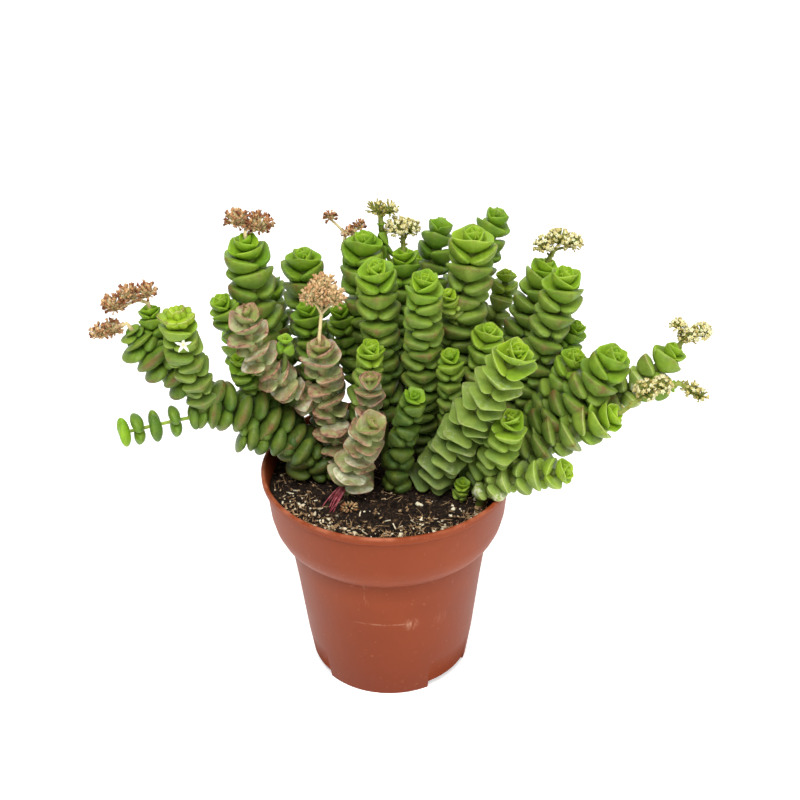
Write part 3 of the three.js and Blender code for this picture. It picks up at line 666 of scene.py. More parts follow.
# %% Stems and branches
STEMS = {
    "front_leaning": dict(foot=(20, -8), tip=(56, -46, 197), rise=(62, 62), leaf=12, pitch=7.4, bare=4),
    "front_sprout": dict(foot=(34, -21), tip=(35, -23, 115), rise=(80, 80), leaf=4.5, pitch=3, bare=2),
    "front_short": dict(foot=(40, -9), tip=(55, -38, 159), rise=(50, 75), leaf=9.5, pitch=7.4, bare=8),
    "front_over_rim": dict(foot=(42, -25), tip=(80, -42, 133), rise=(70, 25), leaf=8.5, pitch=7.4, bare=10),
    "front_centre": dict(foot=(4, -12), tip=(13, -24, 162), rise=(85, 70), leaf=8, pitch=7.4, bare=6),
    "dry_low": dict(foot=(-19, -14), tip=(-6, -34, 155), rise=(75, 65), leaf=10.5, pitch=7.4, bare=9),
    "dry_middle": dict(foot=(-8, -6), tip=(-7, -19, 169), rise=(90, 75), leaf=9.5, pitch=7.4, bare=26),
    "dry_flowering": dict(foot=(-22, -1), tip=(-29, -8, 180), rise=(84, 88), leaf=11.5, pitch=7.4, bare=8),
    "dry_left": dict(foot=(-8, 14), tip=(-60, -14, 201), rise=(70, 100), leaf=10.5, pitch=7.4, bare=40),
    "left_arch": dict(foot=(-36, 3), tip=(-86, -9, 149), rise=(80, 0), leaf=11.5, pitch=6.4, bare=8),
    "left_low": dict(foot=(-29, -2), tip=(-69, -9, 134), rise=(85, 8), leaf=9.5, pitch=6.4, bare=2),
    "left_tall": dict(foot=(-38, 20), tip=(-61, 14, 221), rise=(65, 88), leaf=13, pitch=8.4, bare=20),
    "left_back": dict(foot=(-28, 34), tip=(-38, 42, 200), rise=(80, 89), leaf=12, pitch=8.4, bare=38),
    "left_inner": dict(foot=(-26, 18), tip=(-36, 22, 184), rise=(85, 85), leaf=9, pitch=7.4, bare=38),
    "middle_tall": dict(foot=(-12, 22), tip=(-9, 27, 215), rise=(88, 88), leaf=12.5, pitch=8.4, bare=38),
    "middle_front": dict(foot=(-1, 8), tip=(-3, -2, 215), rise=(88, 80), leaf=11.5, pitch=7.4, bare=26),
    "middle_short": dict(foot=(-12, 6), tip=(-6, -9, 179), rise=(85, 75), leaf=9.5, pitch=7.4, bare=30),
    "centre_tall": dict(foot=(16, 4), tip=(18, -12, 214), rise=(85, 80), leaf=10, pitch=7.4, bare=12),
    "centre_inner": dict(foot=(8, 26), tip=(9, 32, 205), rise=(89, 85), leaf=9.5, pitch=8.4, bare=38),
    "centre_back": dict(foot=(18, 34), tip=(27, 48, 213), rise=(88, 64), leaf=11, pitch=8.4, bare=38),
    "right_back_tall": dict(foot=(30, 28), tip=(53, 38, 222), rise=(88, 66), leaf=10.5, pitch=8.4, bare=38),
    "right_thick": dict(foot=(32, 15), tip=(40, 10, 224), rise=(88, 82), leaf=12.5, pitch=8.4, bare=20),
    "right_small": dict(foot=(30, 0), tip=(29, -13, 177), rise=(88, 80), leaf=7, pitch=5.5, bare=12),
    "right_inner": dict(foot=(39, 4), tip=(47, -2, 183), rise=(88, 80), leaf=9.5, pitch=7.4, bare=16),
    "right_back_small": dict(foot=(30, 39), tip=(58, 46, 187), rise=(75, 85), leaf=7, pitch=7.4, bare=38),
    "right_flowering": dict(foot=(43, 24), tip=(75, 28, 200), rise=(70, 72), leaf=10.5, pitch=7.4, bare=18),
    "right_outer": dict(foot=(48, 14), tip=(81, 4, 207), rise=(60, 80), leaf=11, pitch=7.4, bare=14),
    "right_middle": dict(foot=(49, 4), tip=(86, -8, 172), rise=(60, 70), leaf=9.5, pitch=7.4, bare=16),
    "right_forked": dict(foot=(49, -6), tip=(102, -18, 178), rise=(60, 65), leaf=11.5, pitch=7.4, bare=12),
    "right_low": dict(foot=(47, -16), tip=(102, -26, 152), rise=(68, 30), leaf=11.5, pitch=7.4, bare=12),
    "back_left": dict(foot=(-40, 30), tip=(-58, 58, 180), rise=(60, 80), leaf=11, pitch=9, bare=14),
    "back_far_left": dict(foot=(-46, 19), tip=(-72, 36, 163), rise=(65, 75), leaf=10.5, pitch=9, bare=14),
    "back_inner_left": dict(foot=(-11, 46), tip=(-8, 80, 180), rise=(60, 80), leaf=11, pitch=9, bare=14),
    "back_middle": dict(foot=(8, 45), tip=(16, 75, 182), rise=(65, 80), leaf=11, pitch=9, bare=14),
    "back_inner_right": dict(foot=(20, 46), tip=(40, 82, 178), rise=(60, 80), leaf=11, pitch=9, bare=14),
    "back_right": dict(foot=(40, 33), tip=(84, 50, 170), rise=(65, 70), leaf=10.5, pitch=9, bare=14),
}
BRANCHES = {
    "dry_left_shoot": dict(
        on="dry_left", at=0.62, tip=(-44, -12, 186), rise=(50, 85), leaf=4.5, pitch=6, bare=16
    ),
    "left_forked": dict(
        on="left_arch", at=0.88, tip=(-112, -8, 189), rise=(52, 62), leaf=11, pitch=7.4, bare=4
    ),
    "left_thin": dict(
        on="left_arch", at=0.72, tip=(-121, -20, 142), rise=(5, -5), leaf=7.5, pitch=9, bare=12, slender=True
    ),
    "left_crown": dict(
        on="left_forked", at=0.66, tip=(-104, -4, 197), rise=(80, 85), leaf=7.5, pitch=6.5, bare=4
    ),
    "left_lobed": dict(
        on="left_arch", at=0.94, tip=(-89, -22, 202), rise=(70, 88), leaf=9.5, pitch=6.5, bare=6
    ),
    "left_tall_side": dict(
        on="left_tall", at=0.45, tip=(-73, 4, 197), rise=(60, 80), leaf=8.5, pitch=6, bare=6
    ),
    "left_tall_low": dict(
        on="left_tall", at=0.25, tip=(-66, -3, 171), rise=(30, 80), leaf=7, pitch=6, bare=6
    ),
    "middle_side": dict(
        on="middle_tall", at=0.35, tip=(-21, 21, 183), rise=(60, 80), leaf=8, pitch=6, bare=6
    ),
    "right_thick_side": dict(
        on="right_thick", at=0.6, tip=(29, 4, 199), rise=(70, 85), leaf=6, pitch=5.5, bare=6
    ),
    "right_outer_side": dict(
        on="right_outer", at=0.4, tip=(88, 10, 178), rise=(45, 75), leaf=7.5, pitch=5.5, bare=6
    ),
    "right_reach": dict(
        on="right_forked", at=0.45, tip=(131, -6, 174), rise=(15, 55), leaf=9, pitch=7.4, bare=14
    ),
    "right_reach_low": dict(
        on="right_reach", at=0.4, tip=(130, -14, 160), rise=(0, 20), leaf=5, pitch=7.4, bare=14
    ),
    "middle_spray": dict(
        on="middle_tall", at=0.8, tip=(-18, 35, 207), rise=(35, 85), leaf=3, pitch=7.4, bare=12
    ),
    "centre_stalk": dict(
        on="centre_inner", at=0.85, tip=(-1, 32, 221), rise=(50, 88), leaf=3, pitch=8.4, bare=14
    ),
}
HEADS = {
    "left_forked": [(-120, -9, 190, 4.4), (-126, -10, 188.5, 4)],
    "left_crown": [(-119, -6, 200, 4.8), (-112, -5, 205, 4.6), (-104, -5, 206, 4.4)],
    "left_tall": [(-65, 18, 229.5, 5), (-55, 18, 227, 5.6)],
    "dry_flowering": [(-31, -6, 203, 5.4), (-22, -6, 202, 5), (-27, 0, 205, 5.4)],
    "middle_spray": [(-24, 36, 222, 2.8), (-16, 36, 214, 3), (-11, 36, 217, 2.6)],
    "centre_stalk": [(-3, 32, 227.5, 4.2), (3, 32, 227, 4)],
    "centre_inner": [(6, 32, 218, 5), (12, 32, 217.5, 4.8)],
    "right_flowering": [(73, 26, 211, 4.6), (80, 27, 213.5, 5), (86, 26, 212, 4.4)],
    "right_low": [(115, -27, 165, 5), (122, -26, 166.5, 4.8)],
    "right_reach": [(131, -6, 186, 3.4), (136, -7, 181, 4.4), (142, -6, 182.5, 4.4)],
    "right_reach_low": [(138, -14, 157, 4), (142, -14, 154, 3.4)],
}
print(len(STEMS), "stems,", len(BRANCHES), "branches and", len(HEADS), "flower heads")

# %% [markdown]
# A route is a cubic Bezier curve. It has four corners: its two ends, and one point out from each end along
# its slope. Its length is measured in short steps, because leaves sit by distance along a stem, while the
# curve's own parameter runs faster in some places than in others.

# %% Routes
FOOT_HEIGHT = 105.0
BURIED = 9.0
ROUTE_PARTS = 200
UP = Vector((0, 0, 1))


class Route:
    """The curve of one stem, measured along its length."""

    def __init__(self, name, row, others):
        self.name = name
        self.row = row
        self.leaf = row["leaf"]
        self.parent = others.get(row.get("on"))
        tip = Vector(row["tip"])
        if self.parent:
            start = self.parent.point(row["at"] * self.parent.length)
        else:
            start = Vector((*row["foot"], FOOT_HEIGHT))
        chord = tip - start
        self.ahead = Vector((chord.x, chord.y, 0)).normalized()
        self.side = UP.cross(self.ahead)
        slopes = [math.radians(angle) for angle in row["rise"]]
        leave, arrive = [(self.ahead * math.cos(a) + UP * math.sin(a)) * chord.length / 3 for a in slopes]
        self.corners = [start, start + leave, tip - arrive, tip]
        steps = [self.bezier(index / ROUTE_PARTS) for index in range(ROUTE_PARTS + 1)]
        self.marks = [0.0]
        for before, after in zip(steps, steps[1:]):
            self.marks.append(self.marks[-1] + (after - before).length)
        self.length = self.marks[-1]

    def bezier(self, t):
        """The point at t, from 0 to 1, by the usual weights of a cubic curve."""
        weights = ((1 - t) ** 3, 3 * t * (1 - t) ** 2, 3 * t**2 * (1 - t), t**3)
        return sum((corner * weight for corner, weight in zip(self.corners, weights)), Vector())

    def share(self, distance):
        """The t that lies at a distance, since t doesn't run evenly along the curve."""
        return float(np.interp(distance, self.marks, np.linspace(0, 1, ROUTE_PARTS + 1)))

    def point(self, distance):
        return self.bezier(self.share(distance))

    def frame(self, distance):
        """Centre, heading, out and side at a distance. Below its foot a stem goes straight down."""
        t = self.share(min(self.length, max(0.0, distance)))
        heading = (self.bezier(min(1, t + 0.001)) - self.bezier(max(0, t - 0.001))).normalized()
        if distance <= 0 and not self.parent:
            heading = UP.copy()
        beyond = distance - min(self.length, max(0.0, distance))
        return self.bezier(t) + heading * beyond, heading, self.side.cross(heading), self.side


routes = {}
for name, row in {**STEMS, **BRANCHES}.items():
    routes[name] = Route(name, row, routes)
print(len(routes), "routes,", round(sum(route.length for route in routes.values()) / 1000, 2), "m of stem")

# %% [markdown]
# Leaf pairs are counted down from the tip. Up to five young pairs stand one inside the other as a rosette,
# and with age they grow, open out and move apart. Real plants turn each pair a quarter turn from the last,
# with a slow drift, so the rows of leaves wind a little round the stem. Each row of a rosette gives a
# pair's depth below the tip, on a leaf of 12 mm, its share of the full size and its lift in degrees. Below
# the rosette the pairs touch, except on the loose stems.

# %% Tables of the leaf pairs
YOUNG_SIZE = 0.92
GROWTH = 0.08
OLD_LIFT = 12.0
YOUNG_LIFT = 25.0
LIFT_FADE = 1.4
FIRST_TURN = 40.0
DRIFT = 7.0
FACING_DRIFT = 1.5
BARE_INSET = 3.0
SMALL_LEAF = 6
SHORT_BARE = 12
SHORT_BARE_SHARE = 0.35
ROSETTE_LEAF = 12.0
ROSETTE = [(0.5, 0.24, 76.0), (1.3, 0.36, 66.0), (2.5, 0.5, 56.0), (4.1, 0.66, 46.0), (6.4, 0.84, 35.0)]
OPEN_ROSETTE = [(0.4, 0.28, 70.0), (1.4, 0.48, 46.0), (3.0, 0.8, 22.0)]
CROWN_FOOT = [(2.4, 0.6, 40.0), (5.0, 0.8, 30.0)]
FLOWERING_TOP = [(1.2, 0.4, 44.0), (3.4, 0.6, 34.0), (6.4, 0.8, 25.0)]
LOOSE = [
    "front_over_rim", "front_centre", "front_short", "left_low",
    "right_middle", "right_small", "right_reach", "right_back_small",
]
OPEN_ENDED = ["left_arch", "left_low"]
BARE = {"dry_low": 5.5, "left_inner": 3.0, "left_back": 6.0, "front_centre": 0.5, "front_sprout": -1.0}
OLDER = {"left_arch": 5, "left_low": 4, "left_forked": 2}
ROUNDED = ["left_arch", "left_forked", "left_low", "left_thin"]
FACING = [*ROUNDED, "right_low", "right_forked"]
UNCROWDED = ["right_low", "right_forked", "left_arch", "front_leaning", "dry_low"]
DRY = ["dry_low", "dry_middle", "dry_flowering", "dry_left"]
SLIM = {
    "centre_back": 0.88, "right_back_tall": 0.9, "middle_front": 0.94, "left_tall": 0.94, "front_centre": 0.92
}
print(len(ROSETTE), "young pairs in a rosette, and", len(LOOSE), "loose stems")

# %% [markdown]
# The tables become pairs in one walk down each stem. The youngest pairs come from a rosette, scaled to the
# leaf of the stem. Each pair below them follows the last by its gap, until only the bare foot is left. Then
# the pairs are counted from the foot up, because that is the order in which a stem turns as it grows.

# %% Leaf pairs
def spacing(route):
    """Leaf pairs of grown stems touch, so the distance between them follows the size of the leaves."""
    if route.row.get("slender") or route.name in LOOSE or route.leaf < SMALL_LEAF:
        return route.row["pitch"]
    return 1.2 + 0.5 * route.leaf


def top_pairs(route):
    """How the youngest pairs of a stem stand: their depth below its tip, their size and their lift."""
    if route.name == "left_lobed":
        return CROWN_FOOT
    if route.name in OPEN_ENDED or route.row.get("slender"):
        return []
    if HEADS.get(route.name):
        return FLOWERING_TOP
    if route.name == "front_centre":
        return OPEN_ROSETTE
    return ROSETTE[::2] if route.name in DRY or route.leaf < 7 else ROSETTE


def leaf_pairs(route):
    """Every pair of a stem: where it sits, how far it reaches, and its lift, age, gap and turn."""
    pairs = []
    scale = route.leaf / ROSETTE_LEAF
    top = top_pairs(route)
    for order, (inset, share, lift) in enumerate(top):
        age = 0.6 * order / len(top)
        place = route.length - inset * scale
        pairs.append(dict(at=place, reach=route.leaf * share, lift=lift, age=age, gap=0.0))
    down = top[-1][0] * scale + spacing(route) * 0.62 if top else BARE_INSET
    age = 1 if top else 0
    bare = route.row["bare"]
    bare = BARE.get(route.name, bare * (SHORT_BARE_SHARE if bare < SHORT_BARE else 1))
    while down < route.length - bare:
        reach = route.leaf * min(1.0, YOUNG_SIZE + GROWTH * age)
        lift = OLD_LIFT + YOUNG_LIFT * math.exp(-age / LIFT_FADE)
        gap = spacing(route) * min(1.0, 0.7 + 0.15 * age)
        pairs.append(dict(at=route.length - down, reach=reach, lift=lift, age=age, gap=gap))
        down += gap
        age += 1
    for order, pair in enumerate(reversed(pairs)):
        first, drift = (0.0, FACING_DRIFT) if route.name in FACING else (FIRST_TURN, DRIFT)
        pair["turn"] = first + drift * order + (90 if order % 2 else 0)
        pair["age"] += OLDER.get(route.name, 0)
    return pairs


print("pairs on the leaning stem in front:", len(leaf_pairs(routes["front_leaning"])))

# %% [markdown]
# One leaf is a fleshy boat: rounded at its sides, drawn to a point, thick in the middle, flatter on top
# than below, with a blunt keel underneath. A low sphere of 72 faces is enough to start from. Its points are
# moved by a formula, and a Subdivision Surface modifier smooths the whole stem at the end. The same formula
# also records, point by point, how near a point is to the tip, the rim, the keel and the underside, for the
# materials to use.

# %% Leaf shape
LEAF_FIELDS = ["age", "along", "rim", "keel", "under", "tint", "blush", "pale"]
SPHERE_TURNS = 12
SPHERE_LEVELS = 6
CAGE = 1.06
TIP_RISE = 0.06


def leaf_points(
    sphere, reach, thick, lift, cup, wrap=0.1, width=0.78, wave=0.0, phase=0.0, bend=0.0, point=1.0, belly=0.7
):
    """Move the points of a sphere into a leaf that grows along +X. The result is points and their fields.

    cup and bend curl the leaf along its length and wrap curls it round the stem. wave ruffles its rim,
    point is how far the tip is drawn out, and belly is the share of the thickness below the rim.
    """
    x, y, level = sphere.T
    out = np.sqrt(np.clip(1 - level**2, 0, 1))
    turn = np.arctan2(y, x)
    ahead = np.cos(turn)
    centre = 0.42 * reach
    pointed = ahead + point * (0.12 * (ahead > 0.99) - 0.2 * np.sin(2 * turn) ** 2)
    front = centre + (reach - centre) * out * pointed
    rear = centre + 0.54 * reach * out * ahead
    px = np.where(ahead > 0, front, rear)
    py = width * reach * out * np.sin(turn) * (1 - 0.18 * ahead)
    along = np.clip(px / reach, 0, 1)
    middle = 1 - np.clip(np.abs(py) / (width * reach), 0, 1)
    ridge = 1.3 * belly - 0.53
    top = (1 - belly) * thick * level
    keel = belly * thick * level * (1 - ridge + ridge * middle) * (1 + 0.15 * along)
    pz = np.where(level > 0, top, keel) + TIP_RISE * reach * along**2 * (level <= 0.1)
    pz += cup * px**2 / reach + wrap * py**2 / (width * reach)
    pz += wave * reach * out**4 * np.sin(3 * turn + phase) + bend * px**2 / reach
    cos, sin = math.cos(math.radians(lift)), math.sin(math.radians(lift))
    points = np.stack([px * cos - pz * sin, py, px * sin + pz * cos], 1) * CAGE
    fields = dict(along=along, rim=1 - np.abs(level), keel=middle, under=np.clip(0.5 - level, 0, 1))
    return points, fields


print("one leaf has", SPHERE_TURNS * SPHERE_LEVELS, "faces before it is smoothed")

# %% [markdown]
# Where stems crowd, their leaves press on one another. Each leaf is measured at its tip and at both flanks:
# the place belongs to the stem whose line is nearest, for the size of its leaves. A leaf that would cross
# over is shortened until it fits.

# %% Crowding
LINE_STEP = 2.0
CROWD_MARGIN = -0.06
LEAST_LEAF = 0.72
JUNCTION = 0.7
BALL_MARGIN = 0.4
PEAT_MARGIN = 0.9
RIM_BAND = (51.0, 65.0)
RIM_TOP = 111.0
line_points, line_leaf, line_name = [], [], []
for name, route in routes.items():
    for distance in np.arange(0, route.length, LINE_STEP):
        point = route.point(distance)
        if route.parent:
            marks = np.arange(0, route.parent.length, LINE_STEP)
            nearest = min((point - route.parent.point(mark)).length for mark in marks)
            if nearest < route.parent.leaf * JUNCTION:
                continue
        line_points.append(point)
        line_leaf.append(route.leaf)
        line_name.append(name)
line_points, line_leaf, line_name = np.array(line_points), np.array(line_leaf), np.array(line_name)
own_lines = {
    name: np.array([route.point(distance) for distance in np.arange(0, route.length, LINE_STEP)])
    for name, route in routes.items()
}
balls = np.array([ball for row in HEADS.values() for ball in row])


def crosses(place, route):
    """Whether a place lies in the room of another stem or of a flower head."""
    mine = np.linalg.norm(own_lines[route.name] - place, axis=1).min() / route.leaf
    theirs = np.linalg.norm(line_points - place, axis=1) / line_leaf
    in_ball = (np.linalg.norm(balls[:, :3] - place, axis=1) < balls[:, 3] + BALL_MARGIN).any()
    return in_ball or theirs[line_name != route.name].min() < mine + CROWD_MARGIN


def cleared(points):
    """Leaves lie over the rim and on the peat, never in them."""
    out = np.hypot(points[:, 0], points[:, 1])
    over_rim = (out > RIM_BAND[0]) & (out < RIM_BAND[1])
    over_peat = np.array([soil_top(x, y) + PEAT_MARGIN for x, y in points[:, :2]])
    least = np.where(over_rim, RIM_TOP, np.where(out < RIM_BAND[0], over_peat, -np.inf))
    points[:, 2] = np.maximum(points[:, 2], least)
    return points


print(len(line_points), "points on the lines of the stems")

# %% [markdown]
# The finish of a living leaf runs from a bright yellow-green bud to a dull old leaf, along two ramps: one is
# painted shade and the other painted sunlight, and the tint of a leaf mixes them. Below 0 the tint mixes in a
# near-black green of painted deep shade, and the dark old end of the ramps is partly painted shade low in the
# plant. Sun has blushed the keels and tips reddish brown in fine specks and freckles, and the leaves painted
# most sunlit have a thin pale rim. The underside is painted darker, as shade. The flesh is full of water, so
# a little light passes through it.

# %% Leaf finish
leafy = Finish(
    "living_leaf", Roughness=0.48, Specular_IOR_Level=0.24, Subsurface_Weight=0.3, Subsurface_Scale=0.004
)
leafy.shader.inputs["Subsurface Radius"].default_value = (0.8, 1.0, 0.25)
age, along, rim, keel = [leafy.attribute(name) for name in LEAF_FIELDS[:4]]
under, tint, blush, pale = [leafy.attribute(name) for name in LEAF_FIELDS[4:]]
mottle = leafy.noise(170, 4, roughness=0.6)
speck = leafy.noise(1300, 2)
dots = leafy.noise(2600, 1).between(0.62, 0.7)
# Painted light and shade: the tint mixes these two ramps, a shaded green and a sunlit green. Their dark old
# end is partly painted shade low in the plant.
painted_shade_green = leafy.ramp(
    age,
    (0.0, srgb(128, 172, 14)), (0.15, srgb(104, 147, 20)), (0.4, srgb(88, 126, 28)), (1.0, srgb(66, 90, 32)),
)
painted_sunlit_green = leafy.ramp(
    age,
    (0.0, srgb(156, 190, 24)), (0.15, srgb(143, 172, 34)),
    (0.4, srgb(142, 164, 68)), (1.0, srgb(122, 144, 80)),
)
color = leafy.mix(tint.between(0.0, 1.0), painted_shade_green, painted_sunlit_green)
# Painted deep shade: below 0 the tint mixes in a near-black green.
color = leafy.mix((0 - tint).between(0.0, 1.0), color, srgb(30, 54, 16))
color = leafy.mix(mottle.between(0.4, 0.75) * 0.45, color, srgb(74, 102, 38))
color = leafy.mix(mottle.between(0.6, 0.3) * 0.3, color, srgb(162, 174, 66))
# Painted shade: the underside darker, more so on older leaves.
color = leafy.mix(under * (0.1 + age * 0.3), color, srgb(62, 94, 44))
near_tip = along.between(0.55, 1.0)
reddened = keel.between(0.3, 1.0) * near_tip * near_tip * 0.8
reddened = reddened + rim.between(0.5, 1.0) * along.between(0.25, 0.8)
reddened = reddened * blush * mottle.between(0.28, 0.6)
reddened = (reddened * speck.between(0.25, 0.62) * 1.3).math("MINIMUM", 0.85)
color = leafy.mix(reddened, color, srgb(110, 84, 44))
freckle = leafy.noise(1000, 3, roughness=0.7).between(0.55, 0.66)
freckle = freckle * blush.between(0.05, 0.8) * along.between(0.1, 0.6)
color = leafy.mix(freckle * 0.55, color, srgb(98, 76, 42))
# The pale margin shows only on leaves painted as sunlit.
color = leafy.mix(rim.between(0.88, 1.0) * tint.between(0.3, 0.9) * 0.75, color, srgb(196, 208, 130))
point = along.between(0.93, 1.0) * keel * blush * mottle.between(0.3, 0.6)
color = leafy.mix(point.math("MINIMUM", 0.7), color, srgb(118, 82, 48))
flaking = leafy.noise(420, 5, roughness=0.75).between(0.48, 0.62)
scab = pale * along.between(0.4, 0.8) * keel.between(0.3, 0.8) * flaking
color = leafy.mix(scab * 0.7, color, srgb(190, 192, 160))
color = leafy.mix(dots * 0.16, color, srgb(186, 206, 120))
rough = 0.38 + mottle * 0.16 + scab * 0.25
relief = speck * 0.4 + mottle * 0.8 + dots * 0.3
leafy.surface(Base_Color=color, Roughness=rough, Normal=leafy.bump(relief, 0.4, 0.0003))
print("leaf finish", len(leafy.tree.nodes), "nodes")

# %% [markdown]
# Four stems have dried back. Their leaves have lost water and wrinkled: thin, wavy at the rim, sage green
# with pinkish-brown edges, and here and there a dead silvery skin that shines, whose pale colour is partly a
# painted sheen.

# %% Dry leaf finish
dried = Finish(
    "dry_leaf", Roughness=0.45, Specular_IOR_Level=0.4, Subsurface_Weight=0.06, Subsurface_Scale=0.002
)
age, along, rim, keel = [dried.attribute(name) for name in LEAF_FIELDS[:4]]
under, tint, blush, pale = [dried.attribute(name) for name in LEAF_FIELDS[4:]]
mottle = dried.noise(190, 5, roughness=0.62)
wrinkle = dried.noise(520, 4, roughness=0.6)
speck = dried.noise(1300, 2)
belly = under.between(0.5, 0.72)
color = dried.ramp(mottle, (0.3, srgb(108, 126, 66)), (0.5, srgb(154, 162, 100)), (0.75, srgb(206, 210, 158)))
color = dried.mix(belly * 0.55, color, srgb(92, 116, 62))
color = dried.mix(tint.between(0.2, 1.0) * 0.5, color, srgb(88, 108, 56))
color = dried.mix((1 - age.between(0.0, 0.14)) * 0.75, color, srgb(160, 170, 66))
blotch = dried.noise(250, 4, roughness=0.6).between(0.42, 0.56) * along.between(0.15, 0.5) * (1 - belly)
edge = rim.between(0.25, 0.8) * along.between(0.15, 0.5) * 0.9 + blotch * 0.75
edge = (edge * mottle.between(0.12, 0.5) * blush).math("MINIMUM", 0.9)
color = dried.mix(edge, color, srgb(166, 122, 98))
lines = edge * wrinkle.between(0.5, 0.62) + rim.between(0.9, 1.0) * mottle.between(0.3, 0.6) * blush * 0.6
color = dried.mix((lines * 0.95).math("MINIMUM", 0.9), color, srgb(92, 52, 42))
# Silvery patches: a dead skin, whose whiteness is partly a painted sheen.
silver_skin_and_sheen = (1 - belly) * (1 - rim.between(0.75, 0.95)) * dried.noise(110, 3).between(0.46, 0.56) * pale
silver_skin_and_sheen = silver_skin_and_sheen * (0.35 + wrinkle.between(0.42, 0.58) * 0.65)
color = dried.mix(silver_skin_and_sheen.between(0.0, 1.0), color, srgb(232, 232, 208))
rough = 0.5 - silver_skin_and_sheen * 0.22 + wrinkle * 0.1
dried.surface(Base_Color=color, Roughness=rough, Normal=dried.bump(wrinkle + speck * 0.3, 0.6, 0.0006))
print("dry finish", len(dried.tree.nodes), "nodes")

# %% [markdown]
# Every stem of the frame now gets its fine piece: a core tube along the route, and on it every pair of
# leaves, all in one mesh with the branches that grow from it. What differs from stem to stem is kept in
# small tables: how far its leaves are blushed, how much painted light and shade they carry, how pale with
# scabs they are, and how thin, flat and pointed they are. A few old pairs have leaves of their own: broad
# ones, and withered ones.

# %% Tables of the stems
BLUSH = {
    "left_arch": 1.0, "left_forked": 1.0, "left_crown": 0.5, "right_thick": 0.9, "right_thick_side": 0.5,
    "right_low": 1.0, "right_forked": 1.0, "right_reach": 0.9, "middle_tall": 0.8, "right_back_tall": 0.6,
    "left_tall": 0.7, "left_tall_side": 0.8, "left_back": 0.8, "right_flowering": 0.7, "right_outer": 0.8,
    "centre_tall": 0.75, "middle_front": 0.6, "left_low": 0.3, "left_thin": 0.12, "front_leaning": 0.22,
    "front_short": 0.12, "front_over_rim": 0.1, "front_centre": 0.15, "left_lobed": 0.35, "right_middle": 0.5,
    "back_left": 0.7,
}
# Tints: on living leaves this is painted light and shade, sunlit above 0 and deep shade below it. On dry
# stems the same number makes the leaves darker and greener.
SUN = {
    "front_leaning": 0.65, "front_short": 0.5, "front_over_rim": 0.75, "right_low": 0.6, "left_lobed": 0.5,
    "right_reach": 0.5, "right_inner": 0.5, "right_forked": 0.3, "right_small": 0.4, "left_thin": -0.1,
    "left_arch": 0.0, "left_forked": 0.2, "left_low": -0.5, "centre_tall": 0.3, "middle_front": 0.3,
    "centre_back": -0.15, "right_back_tall": -0.1, "right_middle": 0.35, "right_flowering": 0.35,
    "right_outer": 0.35, "right_thick": 0.45, "middle_short": 0.5, "front_sprout": 0.4,
    "right_back_small": 1.0, "right_thick_side": 0.8, "dry_middle": 1.1, "dry_low": 0.45,
}
PALE = {"front_leaning": 1.0, "front_over_rim": 0.6, "right_middle": 0.5}
# Stems whose lower leaves get no painted shade.
NO_LOWER_SHADE = ["front_leaning", "front_short", "front_over_rim", "right_low", "left_lobed", "left_thin"]
THIN = {
    "front_leaning": 0.62, "front_short": 0.8, "front_over_rim": 0.8, "right_middle": 0.85, "right_low": 0.85
}
FLAT = {"front_leaning": 9.0, "front_short": 5.0, "front_over_rim": 3.0, **dict.fromkeys(DRY, 10.0)}
POINTED = {"front_leaning": 2.0, "front_short": 1.6}
LEAST_POINT = 1.3
BROAD_FROM = {"dry_low": (6, 1.25), "dry_flowering": (5, 1.12)}
# Painted shade on the front centre stem: light on its rosette, deep below it.
PAINTED_SHADE_TINTS = {"front_centre": (-0.15, -0.75)}
WITHERED = {
    "front_over_rim": ((5, 6), dict(tint=1.0, pale=3.0)),
    "right_reach": ((3, 4), dict(tint=1.5, pale=3.0, blush=0.2)),
}
DRY_BLUSH = {"dry_low": 0.65}
print(len(BLUSH), "stems have a blush of their own and", len(SUN), "a place in the sun")

# %% [markdown]
# A leaf starts as a low sphere, which leaf_points turns into its shape. The frame of its pair then sets it
# on the stem, and its numbers are written on its points for the finish to read.

# %% One leaf on its stem
def add_leaf(bm, fields, frame_axes, shape, values):
    """Add one leaf to a stem, in the frame of its pair."""
    ball = dict(u_segments=SPHERE_TURNS, v_segments=SPHERE_LEVELS, radius=1.0)
    verts = bmesh.ops.create_uvsphere(bm, **ball)["verts"]
    sphere = np.array([vert.co for vert in verts])
    points, varying = leaf_points(sphere, **shape)
    centre, x_axis, y_axis, z_axis = frame_axes
    places = np.array(centre) + points @ np.array([x_axis, y_axis, z_axis])
    for index, (vert, place) in enumerate(zip(verts, cleared(places))):
        vert.co = place
        for name, layer in fields.items():
            vert[layer] = float(varying[name][index]) if name in varying else values[name]


def fitted(route, centre, x_axis, y_axis, z_axis, reach, lift, width):
    """The share of its length that a leaf can have before it crosses into another stem."""
    cos, sin = math.cos(math.radians(lift)), math.sin(math.radians(lift))
    for share in np.arange(1.0, LEAST_LEAF, -0.06):
        tip = centre + (x_axis * cos + z_axis * sin) * reach * share
        flanks = [centre.lerp(tip, 0.5) + y_axis * side * width * reach * share * 0.9 for side in (-1, 1)]
        if not any(crosses(np.array(spot), route) for spot in (tip, *flanks)):
            return share
    return LEAST_LEAF


print("a crowded leaf keeps at least", LEAST_LEAF, "of its length")

# %% [markdown]
# The finishes read a few numbers from each leaf: its age, its tint, its blush and its pallor. On a living
# leaf the tint is painted light and shade, and the lower leaves of a stem are older and painted darker, as
# shade. Chance makes no two leaves quite alike. It starts from one seed, so that the plant comes out the
# same each time.

# %% Numbers of a leaf
OLD_AGE = 14
grower = random.Random(23)


